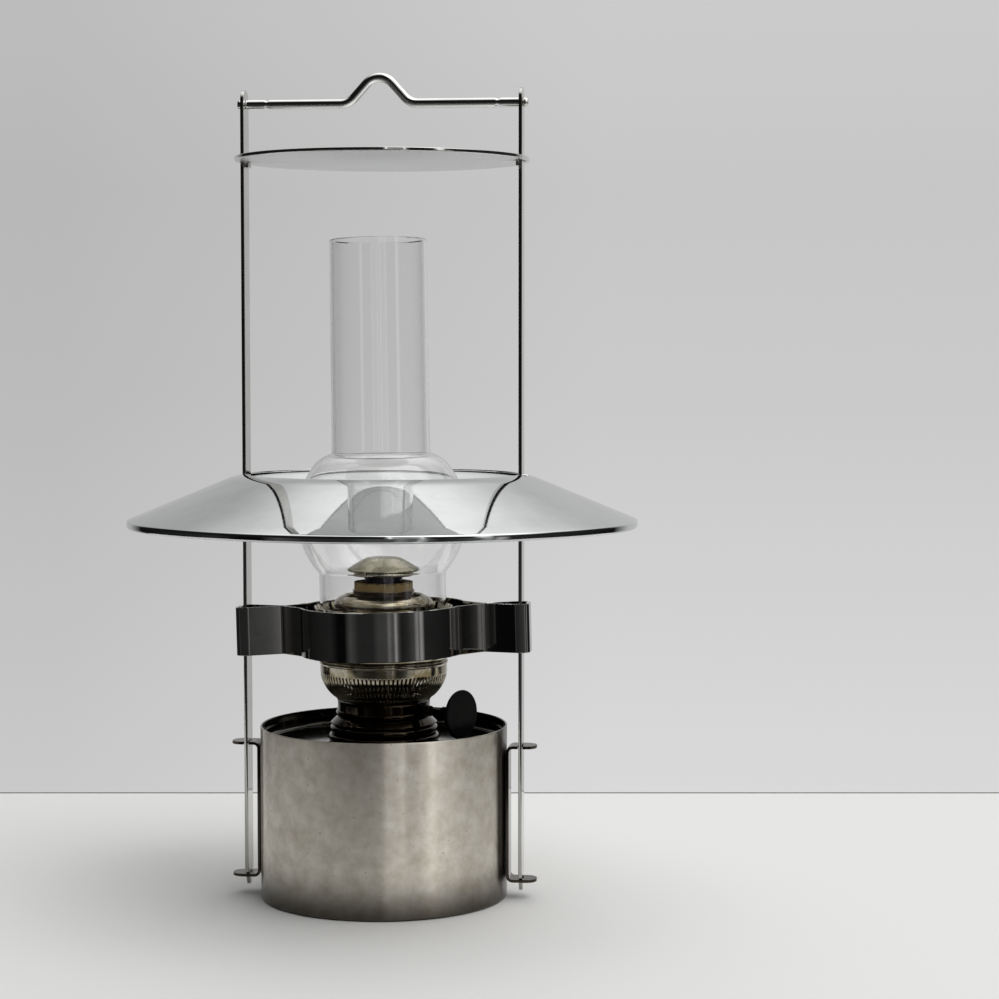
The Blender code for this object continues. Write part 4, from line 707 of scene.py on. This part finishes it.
# %% Knob, spindle and bush on the winder's axis
outward = Vector((math.cos(WINDER_TURN), math.sin(WINDER_TURN), 0))
sideways = Vector((-outward.y, outward.x, 0))
winder_place = Matrix.Translation((0, 0, WINDER_LEVEL)) @ Matrix(
    (sideways, Vector((0, 0, 1)), outward)).transposed().to_4x4()
knob_outline = np.concatenate([
    bow((0.0, 52.1), (11.0, 51.6), 0.12, 8), arc((11.2, 50.4), 1.2, 80, -10, 8), [(12.1, 49.4)],
    bend([(11.4, 49.1), (6.0, 48.9), (2.9, 43.5), (2.9, 38.6), (1.8, 38.6), (1.8, 48.9), (0, 48.9)],
         [0.8, 2.0, 0.4, 0.2, 0.2], 5)])
spun("winder_knob_disc", knob_outline, plastic, ("winder", "knob", ["winder_knob"]), steps=96,
     place=winder_place)
spindle_outline = bend([(0, 17.3), (1.5, 17.3), (1.5, 48.8), (0, 48.8)], [0.2, 0.2], 3)
spun("winder_rod", spindle_outline, shaded_base_nickel, ("winder", "nickel", ["winder_spindle"]), steps=32,
     place=winder_place)
bush_outline = bend([(1.8, 21.5), (2.7, 21.5), (2.7, 31.1), (1.8, 31.1), (1.8, 26.0)],
                    [0.2, 0.3, 0.2], 3)
spun("drum_bush", bush_outline, shaded_base_nickel, ("lamp", "nickel", ["spindle_bush"]), steps=40,
     place=winder_place)

# %% [markdown]
# ## Glass chimney
# The chimney is one blown piece: a straight foot, a round globe and a tall flue. Its path is
# made of those three curves and then smoothed a little, because glass never creases sharply.
# Points in line on its straight parts are left out, since they add faces but no shape. It
# stands a touch askew in its prongs, so the finished points are leant as a whole.

# %% Chimney outline, smoothed and leant
FOOT_RADIUS = 32.5
GLOBE_RADIUS = 43.5
FLUE_RADIUS = 24.9
CHIMNEY_HEIGHT = 212.4
CHIMNEY_FOOT = 124.55
GLASS_WALL = 1.1
IN_LINE = 1e-5


def smoothed(path, spacing, reach):
    """The path resampled at even spacing and averaged over a cosine window, with its ends kept."""
    lengths = np.append(0, np.cumsum(np.linalg.norm(np.diff(path, axis=0), axis=1)))
    at = np.linspace(0, lengths[-1], int(lengths[-1] / spacing) + 1)
    even = np.stack([np.interp(at, lengths, path[:, axis]) for axis in (0, 1)], 1)
    count = max(int(reach / spacing), 1)
    weight = np.hanning(2 * count + 3)[1:-1]
    weight = weight / weight.sum()
    before = 2 * even[0] - even[count:0:-1]
    after = 2 * even[-1] - even[-2:-count - 2:-1]
    padded = np.concatenate([before, even, after])
    return np.stack([np.convolve(padded[:, axis], weight, "valid") for axis in (0, 1)], 1)


def near_bends(path, spread=3):
    """True for path points up to a spread away from a bend; the others lie in a straight line.

    A bend is where the cross product of the unit steps before and after a point isn't zero.
    """
    step = np.diff(path, axis=0)
    step = step / np.linalg.norm(step, axis=1)[:, None]
    turn = step[:-1, 0] * step[1:, 1] - step[:-1, 1] * step[1:, 0]
    bent = np.concatenate([[True], np.abs(turn) > IN_LINE, [True]])
    return np.convolve(bent, np.ones(2 * spread + 1), "same") > 0.5


shoulder = math.degrees(math.acos(34.7 / GLOBE_RADIUS))
base_angle = -math.degrees(math.acos(FOOT_RADIUS / GLOBE_RADIUS))
globe = arc((0, 70.5), GLOBE_RADIUS, base_angle, shoulder, 60)
neck = bow(tuple(globe[-1]), (25.2, 102.8), -0.9, 12)
glass_path = np.concatenate([[(FOOT_RADIUS, 0), (FOOT_RADIUS, 20)], globe, neck[1:],
                             [(25.1, 140), (FLUE_RADIUS, CHIMNEY_HEIGHT)]])
glass_path = smoothed(glass_path, 0.4, 0.4)
along = np.gradient(glass_path, axis=0)
inward = np.stack([-along[:, 1], along[:, 0]], 1) / np.linalg.norm(along, axis=1)[:, None]
kept = near_bends(glass_path)
inside, glass_path = (glass_path + inward * GLASS_WALL)[kept], glass_path[kept]
lip_level = CHIMNEY_HEIGHT - 0.9
lip = arc((FLUE_RADIUS - GLASS_WALL / 2, lip_level), GLASS_WALL / 2, 0, 180, 8)[1:-1]
glass_outline = np.concatenate([glass_path[:-1], [(FLUE_RADIUS, lip_level)], lip,
                                [(FLUE_RADIUS - GLASS_WALL, lip_level)], inside[-2::-1]])
LEAN_LEFT, LEAN_BACK = math.radians(0.9), math.radians(1.7)
full_lean = math.acos(math.cos(LEAN_LEFT) * math.cos(LEAN_BACK))
leant = Matrix.Translation((0, 0, CHIMNEY_FOOT + FOOT_RADIUS * math.sin(full_lean)))
leant = leant @ Matrix.Rotation(-LEAN_LEFT, 4, "Y") @ Matrix.Rotation(-LEAN_BACK, 4, "X")
spun("glass_chimney_tube", glass_outline, glass, ("glass_chimney", "glass", ["chimney"]), steps=160,
     place=leant)

# %% [markdown]
# ## Shade and smoke disc
# Both were spun from flat blanks. The shade's rim is folded under to a hem, and both have cuts
# for the two uprights that they slide along, which are cells left out of their grids.

# %% Mirror shade with its folded rim
NOTCH_END = 74.2
NOTCH_HALF_WIDTH = 7.0
LUG_RADIUS = 72.0
SHADE_TIP = math.radians(0.6)
shade_path = bend([(70.3, 217.6), (76.0, 216.7), (128.9, 194.9)], [40.0], 10)
notch_end = np.array([[NOTCH_END, np.interp(NOTCH_END, shade_path[:, 0], shade_path[:, 1])]])
flank = shade_path[-2] + (shade_path[-1] - shade_path[-2]) * np.linspace(0, 1, 9)[1:-1, None]
hem = bend([shade_path[-1], (129.95, 194.4), (129.95, 191.4), (126.9, 191.6), (127.1, 194.0)],
           [0.8, 0.9, 0.9], 6)
shade_path = np.concatenate([shade_path[:-1], notch_end])
shade_path = np.concatenate([shade_path[np.argsort(shade_path[:, 0])], flank, hem])
notch_half = math.asin(NOTCH_HALF_WIDTH / LUG_RADIUS)
notches = [(turn, notch_half) for turn in (0.0, math.pi)]
shade_angles = angles_with(192, *notches)
opened = window(-shade_path[:, 0], shade_angles, -NOTCH_END, -70, *notches)
lug_level = np.interp(LUG_RADIUS, shade_path[:, 0], shade_path[:, 1])
tipped = Matrix.Translation((0, 0, lug_level)) @ Matrix.Rotation(-SHADE_TIP, 4, "X")
tipped = tipped @ Matrix.Translation((0, 0, -lug_level))
pierced("mirror_shade", shade_path, shade_angles, opened, 0.8, shade_mirror,
        ("lamp_shade", "shade_mirror", ["shade"]), place=tipped)

# %% Smoke disc with a slot for each upright and a lip turned up
DISC_LEVEL = 377.2
SLOT_REACH = (69.7, 72.8)
SLOT_HALF = math.radians(6.05)
disc_path = np.array([(radius, DISC_LEVEL) for radius in (0, 20, 45, *SLOT_REACH, 74.4)])
slots = [(turn, SLOT_HALF) for turn in (0.0, math.pi)]
disc_angles = angles_with(160, *slots)
opened = window(disc_path[:, 0], disc_angles, *SLOT_REACH, *slots)
pierced("smoke_disc_plate", disc_path, disc_angles, opened, 0.8, disc_steel,
        ("smoke_cover", "steel", ["smoke_disc"]))
disc_lip = bend([(74.3, 377.6), (74.3, 378.5), (75.1, 378.5), (75.1, 376.8), (74.3, 376.8),
                 (74.3, 377.0)], [0.2, 0.25, 0.35, 0.1], 4)
spun("smoke_disc_lip", disc_lip, tube_steel, ("smoke_cover", "steel", ["smoke_disc"]), steps=192)

# %% [markdown]
# ## Strips and tube
# The guard band is one thin section carried round a bent path, and the hanger is a circle
# carried along a humped one. The flat uprights and brackets keep the shapes of the frame: a
# copy of each is merged and its edges are broken with a small bevel, as a file would do.

# %% Carry a section along a path
def carried(path, section, up):
    """Point i, j: path point i, plus section point j across the path and along the up direction."""
    path, section = np.asarray(path, float), np.asarray(section, float)
    along = np.gradient(path, axis=0)
    along = along / np.linalg.norm(along, axis=1)[:, None]
    side = np.cross(along, up)
    side = side / np.linalg.norm(side, axis=1)[:, None]
    rise = np.cross(side, along)
    aside, upward = section[None, :, :1], section[None, :, 1:]
    return path[:, None] + aside * side[:, None] + upward * rise[:, None]


# %% Guard band in two sprung halves, a little askew like the real one
BAND_SHEET = 0.9
BAND_HEIGHT = 25.0
BAND_MIDDLE = 138.2
BAND_RADIUS = 42.4
BAND_TIP = math.radians(1.35)
EAR_SIDE = -7.45


def band_plan(ear):
    """Plan of a half: round the gallery, out along the neck and back outside the upright."""
    ring = arc((0, 0), BAND_RADIUS, -162, -18, 60)
    right = bend([ring[-1], (52.4, -0.75), (69.3, EAR_SIDE), (ear, EAR_SIDE), (ear, 4.0)],
                 [2.2, 2.4, 2.4], 8)
    return np.concatenate([right[:0:-1] * (-1, 1), ring, right[1:]])


edge, top = BAND_SHEET / 2, BAND_HEIGHT / 2
side = top - 0.2
band_section = [(-edge, -side), (-edge / 2, -top), (edge / 2, -top), (edge, -side), (edge, 0),
                (edge, side), (edge / 2, top), (-edge / 2, top), (-edge, side), (-edge, 0)]
askew = Matrix.Translation((0, 0, BAND_MIDDLE)) @ Matrix.Rotation(-BAND_TIP, 4, "Y")
for name, node, facing, ear in (("guard_band_front", "band_front", 1, 75.55),
                                ("guard_band_rear", "band_rear", -1, 74.35)):
    plan = band_plan(ear)
    path = np.column_stack([plan[:, 0], plan[:, 1] * facing, np.zeros(len(plan))])
    points = moved(carried(path, band_section, (0, 0, 1)), askew)
    cells = grid_cells(len(path), len(band_section), False, True)
    add_piece(name, points, cells, band_steel, ("guard_band", "steel", [node]))

# %% Hanger tube with its hump, squeezed at both ends on the pins
HANGER_LEVEL = 406.1
TUBE_RADIUS = 2.5
TUBE_END = 69.9
TUBE_BEND = 9
HUMP_HEIGHT = 13.1
HUMP_OFFSET = -1.2
HUMP_SLOPE = math.radians(48)
STRAIGHT_FROM = 55
CRIMP_PLACE = 59.2
CRIMP_DEPTH = 0.2
CRIMP_WIDTH = 0.7
apex = HUMP_HEIGHT + TUBE_BEND * (1 / math.cos(HUMP_SLOPE) - 1)
knee = apex / math.tan(HUMP_SLOPE)
route = bend([(-TUBE_END, 0), (HUMP_OFFSET - knee, 0), (HUMP_OFFSET, apex), (HUMP_OFFSET + knee, 0),
              (TUBE_END, 0)], [TUBE_BEND] * 3, 14)
ends = np.linspace(STRAIGHT_FROM, TUBE_END, 31)
middle = route[np.abs(route[:, 0]) < STRAIGHT_FROM - 1]
flat = np.zeros(len(ends))
route = np.concatenate([np.stack([-ends[::-1], flat], 1), middle, np.stack([ends, flat], 1)])
route = np.column_stack([route[:, 0], np.zeros(len(route)), route[:, 1] + HANGER_LEVEL])
turn = around(32)
circle = np.stack([TUBE_RADIUS * np.cos(turn), TUBE_RADIUS * np.sin(turn)], 1)
points = carried(route, circle, (0, 0, 1))
squeeze = CRIMP_DEPTH * np.exp(-((np.abs(route[:, 0]) - CRIMP_PLACE) / CRIMP_WIDTH) ** 2)
points[:, :, 2] -= (points[:, :, 2] - route[:, None, 2]) * squeeze[:, None]
add_piece("hanger_rod", points, grid_cells(len(route), len(turn), False, True), tube_steel,
          ("hanger", "steel", ["hanger_tube"]))
pin_outline = np.concatenate([
    bow((0.0, 74.7), (1.5, 74.5), 0.04, 5),
    bend([(2.0, 74.3), (2.5, 73.4), (2.5, 72.3), (1.6, 72.3), (1.6, 54.9), (0, 54.9)],
         [0.5, 0.15, 0.1, 0.2], 5)])
for name, node, side in (("hanger_rivet_left", "hanger_pin_left", -1),
                         ("hanger_rivet_right", "hanger_pin_right", 1)):
    laid = Matrix.Translation((0, 0, HANGER_LEVEL)) @ Matrix.Rotation(side * math.pi / 2, 4, "Y")
    spun(name, pin_outline, tube_steel, ("hanger", "bright_steel", [node]), steps=40, place=laid)


# %% Uprights and brackets: copies of the frame's solids with their edges broken
FILED = 0.25


def filed_copy(name, node, finish):
    """The node's mesh merged, its flat faces joined, and every sharp edge given a small bevel."""
    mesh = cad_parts[node].data.copy()
    mesh.name = name
    mesh.materials.clear()
    shape = bmesh.new()
    shape.from_mesh(mesh)
    bmesh.ops.remove_doubles(shape, verts=shape.verts, dist=MERGE * MM)
    bmesh.ops.dissolve_limit(shape, angle_limit=math.radians(0.5), verts=shape.verts,
                             edges=shape.edges)
    shape.to_mesh(mesh)
    shape.free()
    piece = finish_piece(name, mesh, finish, "lamp", [node])
    edges = piece.modifiers.new("Filed edges", "BEVEL")
    edges.width = FILED * MM
    edges.segments = 3
    edges.limit_method = "ANGLE"
    edges.angle_limit = math.radians(40)
    edges.harden_normals = True


for side in ("left", "right"):
    filed_copy("upright_strip_" + side, "upright_" + side, strip_steel)
    filed_copy("tank_bracket_" + side, "bracket_" + side, bracket_shaded_steel)

# %% Hidden pieces keep the frame's shapes and get their finish
for node in ("inner_air_tube", "wick_carrier", "spindle_pinion"):
    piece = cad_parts[node]
    piece.data.materials.clear()
    piece.data.materials.append(nickel)
    print(node, "kept, in nickel")

# %% [markdown]
# ## Camera, floor and light
# The photograph was taken with a long lens, a little above the shade and six degrees to the
# right of the lamp's front. Polished metal shows the whole room, so the light is a room given
# by direction: a pale wall behind the lamp, a bright ceiling, and dark sides and front with a
# few bright window-like strips.

# %% Camera
CAMERA_TURN = math.radians(6)
camera = bpy.data.objects.new("camera", bpy.data.cameras.new("camera"))
bpy.context.scene.collection.objects.link(camera)
camera.data.lens = 88.81
camera.data.sensor_width = 36.0
camera.location = (0.1911, -1.2481, 0.2858)
camera.rotation_euler = (math.radians(86.32), 0, CAMERA_TURN)
bpy.context.scene.camera = camera
print("camera with a", round(camera.data.lens, 2), "mm lens")

# %% Floor: a white board that ends a little behind the lamp
BOARD_FRONT = -270
BOARD_BACK = 284
BOARD_SIDE = 640
floor_finish, tree, place = new_finish("floor_white_laminate")
fleck = add_node(tree, "TexNoise", {"Vector": place, "Scale": 1 / (1.5 * MM), "Detail": 2.0})
# The board's colour grows lighter towards the right: a painted pool of light.
across = add_node(tree, "SeparateXYZ", {0: place}).outputs["X"]
painted_light_rightward = add_node(tree, "MapRange", {"Value": across, "From Min": -300 * MM, "From Max": 120 * MM})
board_tone_painted_light = add_node(tree, "Mix", {
    0: painted_light_rightward, 6: linear("#E8E8E7"), 7: linear("#F3F3F1")}, data_type="RGBA")
tone = add_node(tree, "Mix", {0: fleck, 6: board_tone_painted_light, 7: linear("#F0F0EE")}, data_type="RGBA")
board = add_node(tree, "BsdfPrincipled", {
    "Base Color": tone, "Roughness": 0.6, "Specular IOR Level": 0.2})
add_node(tree, "OutputMaterial", {"Surface": board})
# A dark strip behind the board: painted shadow in the gap where the board ends.
gap_finish, tree, place = new_finish("floor_gap_shadow")
gap_shadow_mottle = add_node(tree, "TexNoise", {"Vector": place, "Scale": 1 / (9 * MM)})
gap_tone = add_node(tree, "Mix", {
    0: gap_shadow_mottle, 6: linear("#1C1B1A"), 7: linear("#34322F")}, data_type="RGBA")
gap_shadow_shader = add_node(tree, "BsdfPrincipled", {"Base Color": gap_tone, "Roughness": 0.9})
add_node(tree, "OutputMaterial", {"Surface": gap_shadow_shader})


def laid_board(name, near, far, finish):
    """A flat board across the camera's view, from a near to a far distance behind the lamp."""
    across, away = np.meshgrid(np.linspace(-BOARD_SIDE, BOARD_SIDE, 7), np.linspace(near, far, 4),
                               indexing="ij")
    ahead, aside = math.cos(CAMERA_TURN), math.sin(CAMERA_TURN)
    corner = np.stack([across * ahead - away * aside, across * aside + away * ahead,
                       np.zeros_like(across)], -1)
    mesh = bpy.data.meshes.new(name)
    cells = grid_cells(7, 4, False, False)[..., ::-1]
    mesh.from_pydata((corner.reshape(-1, 3) * MM).tolist(), [], cells.reshape(-1, 4).tolist())
    mesh.materials.append(finish)
    board = bpy.data.objects.new(name, mesh)
    bpy.context.scene.collection.objects.link(board)
    print(name, "from", near, "to", far, "mm behind the lamp")


laid_board("floor", BOARD_FRONT, BOARD_BACK, floor_finish)
laid_board("floor_gap", BOARD_BACK, BOARD_BACK + 3, gap_finish)

# %% [markdown]
# ## The room's light
# The real lamp stood on a white table in a dark room, under a wide soft light. So below the
# ceiling the light depends on the compass direction, given as pairs of an angle in degrees from
# the camera's side, positive to the right, and a strength: dark, with a few bright windows, and
# the pale wall behind. A ramp holds 32 such stops at most. Above a tilted circle, which lies
# lower behind the lamp than in front of it, the soft light takes over, and a skylight high at
# the front right adds to it. Steeply downwards the lit floor beyond the table is brighter. The
# camera, and rays that came straight through the glass, see a plain pale wall instead.

# %% World: light by direction
ROUND_STOPS = [(-180, 0.52), (-165, 0.48), (-150, 0.46), (-142, 0.25), (-134, 0.01), (3.2, 0.01),
               (4.4, 0.3), (5.4, 1.3), (7.0, 0.4), (12, 0.28), (18.6, 0.3), (19.5, 1.3),
               (20.6, 0.2), (24, 0.01), (42, 0.01), (44.5, 0.5), (46, 1.1), (50, 0.9), (52, 0.12),
               (58, 0.02), (128, 0.02), (136, 0.3), (146, 0.58), (165, 0.6), (180, 0.52)]
LOW_STOPS = [(-180, 0.52), (-150, 0.46), (-142, 0.25), (-134, 0.006), (-76, 0.025), (-63, 0.004),
             (-52, 0.004), (-44, 0.09), (-32, 0.03), (-12, 0.03), (-5, 0.07), (7.5, 0.08),
             (9, 0.22), (11.5, 0.2), (14, 0.11), (17, 0.12), (18.6, 0.5), (20.5, 0.4), (22, 0.1),
             (27, 0.02), (36, 0.04), (45, 0.1), (48.5, 0.36), (50.5, 0.36), (52, 0.15), (55, 0.5),
             (57, 0.4), (60, 0.03), (128, 0.006), (136, 0.3), (146, 0.58), (180, 0.55)]
WALL_STOPS = [(-0.18, 0.65), (-0.1, 0.6), (-0.02, 0.55), (0.06, 0.53), (0.13, 0.56)]
CEILING_STOPS = [(0.6, 0.0), (0.66, 0.07), (0.735, 0.22), (0.79, 0.42), (0.84, 0.6), (0.95, 1.0)]
CEILING = 1.6
CEILING_AXIS = (0.09, 0.2, 0.975)
SKYLIGHT = 1.6
SKYLIGHT_AXIS = (0.497, -0.348, 0.795)
DEEP = 1.9
world = bpy.data.worlds.new("studio")
bpy.context.scene.world = world
world.use_nodes = True
tree = world.node_tree
tree.nodes.clear()


def filled_ramp(share, stops, low, high):
    """A grey ramp through stops of a place between low and high and a strength."""
    made = add_node(tree, "ValToRGB", {0: share})
    ramp = made.color_ramp
    while len(ramp.elements) < len(stops):
        ramp.elements.new(0.5)
    for (place, value), stop in zip(stops, ramp.elements):
        stop.position = (place - low) / (high - low)
        stop.color = (value, value, value, 1)
    return made


direction = add_node(tree, "TexCoord").outputs["Generated"]
faced = add_node(tree, "VectorRotate", {
    "Vector": direction, "Angle": -CAMERA_TURN}, rotation_type="Z_AXIS")
part = add_node(tree, "SeparateXYZ", {0: faced})
front = add_node(tree, "Math", {0: part.outputs["Y"], 1: -1.0}, operation="MULTIPLY")
azimuth = add_node(tree, "Math", {0: part.outputs["X"], 1: front}, operation="ARCTAN2")
share = add_node(tree, "MapRange", {"Value": azimuth, "From Min": -math.pi, "From Max": math.pi})
above = filled_ramp(share, ROUND_STOPS, -180, 180)
below = filled_ramp(share, LOW_STOPS, -180, 180)
horizon = add_node(tree, "MapRange", {
    "Value": part.outputs["Z"], "From Min": -0.06, "From Max": 0.0})
deep = add_node(tree, "MapRange", {
    "Value": part.outputs["Z"], "From Min": -0.6, "From Max": -0.35, "To Min": DEEP, "To Max": 1.0})
lower = add_node(tree, "VectorMath", {0: below, 3: deep}, operation="SCALE")
sides = add_node(tree, "Mix", {0: horizon, 6: lower, 7: above}, data_type="RGBA")
lifted = add_node(tree, "VectorMath", {0: faced, 1: CEILING_AXIS}, operation="DOT_PRODUCT")
high = filled_ramp(lifted, CEILING_STOPS, 0, 1)
covered = add_node(tree, "Mix", {
    0: high, 6: sides, 7: (CEILING, CEILING, CEILING, 1)}, data_type="RGBA")
overhead = add_node(tree, "VectorMath", {0: faced, 1: SKYLIGHT_AXIS}, operation="DOT_PRODUCT")
skylight = add_node(tree, "MapRange", {
    "Value": overhead, "From Min": 0.82, "From Max": 0.95, "To Max": SKYLIGHT})
room = add_node(tree, "VectorMath", {0: covered, 1: skylight})
level = add_node(tree, "MapRange", {"Value": part.outputs["Z"], "From Min": -0.2, "From Max": 0.2})
wall_light = filled_ramp(level, WALL_STOPS, -0.2, 0.2)
toward_right = add_node(tree, "MapRange", {
    "Value": part.outputs["X"], "From Min": -0.175, "From Max": 0.04, "To Min": 0.9,
    "To Max": 1.07})
pale = add_node(tree, "VectorMath", {0: wall_light, 3: toward_right}, operation="SCALE")
seen = add_node(tree, "LightPath")
bounced = add_node(tree, "Math", {
    0: seen.outputs["Glossy Depth"], 1: seen.outputs["Diffuse Depth"]})
straight = add_node(tree, "Math", {0: bounced, 1: 0.5}, operation="LESS_THAN")
through = add_node(tree, "Math", {
    0: seen.outputs["Is Transmission Ray"], 1: straight}, operation="MULTIPLY")
direct = add_node(tree, "Math", {0: seen.outputs["Is Camera Ray"], 1: through}, operation="MAXIMUM")
light = add_node(tree, "Mix", {0: direct, 6: room, 7: pale}, data_type="RGBA")
studio = add_node(tree, "Background", {"Color": light, "Strength": 1.0})
add_node(tree, "OutputWorld", {"Surface": studio})
bpy.context.scene.view_settings.view_transform = "Standard"
print(len(tree.nodes), "nodes light the room")
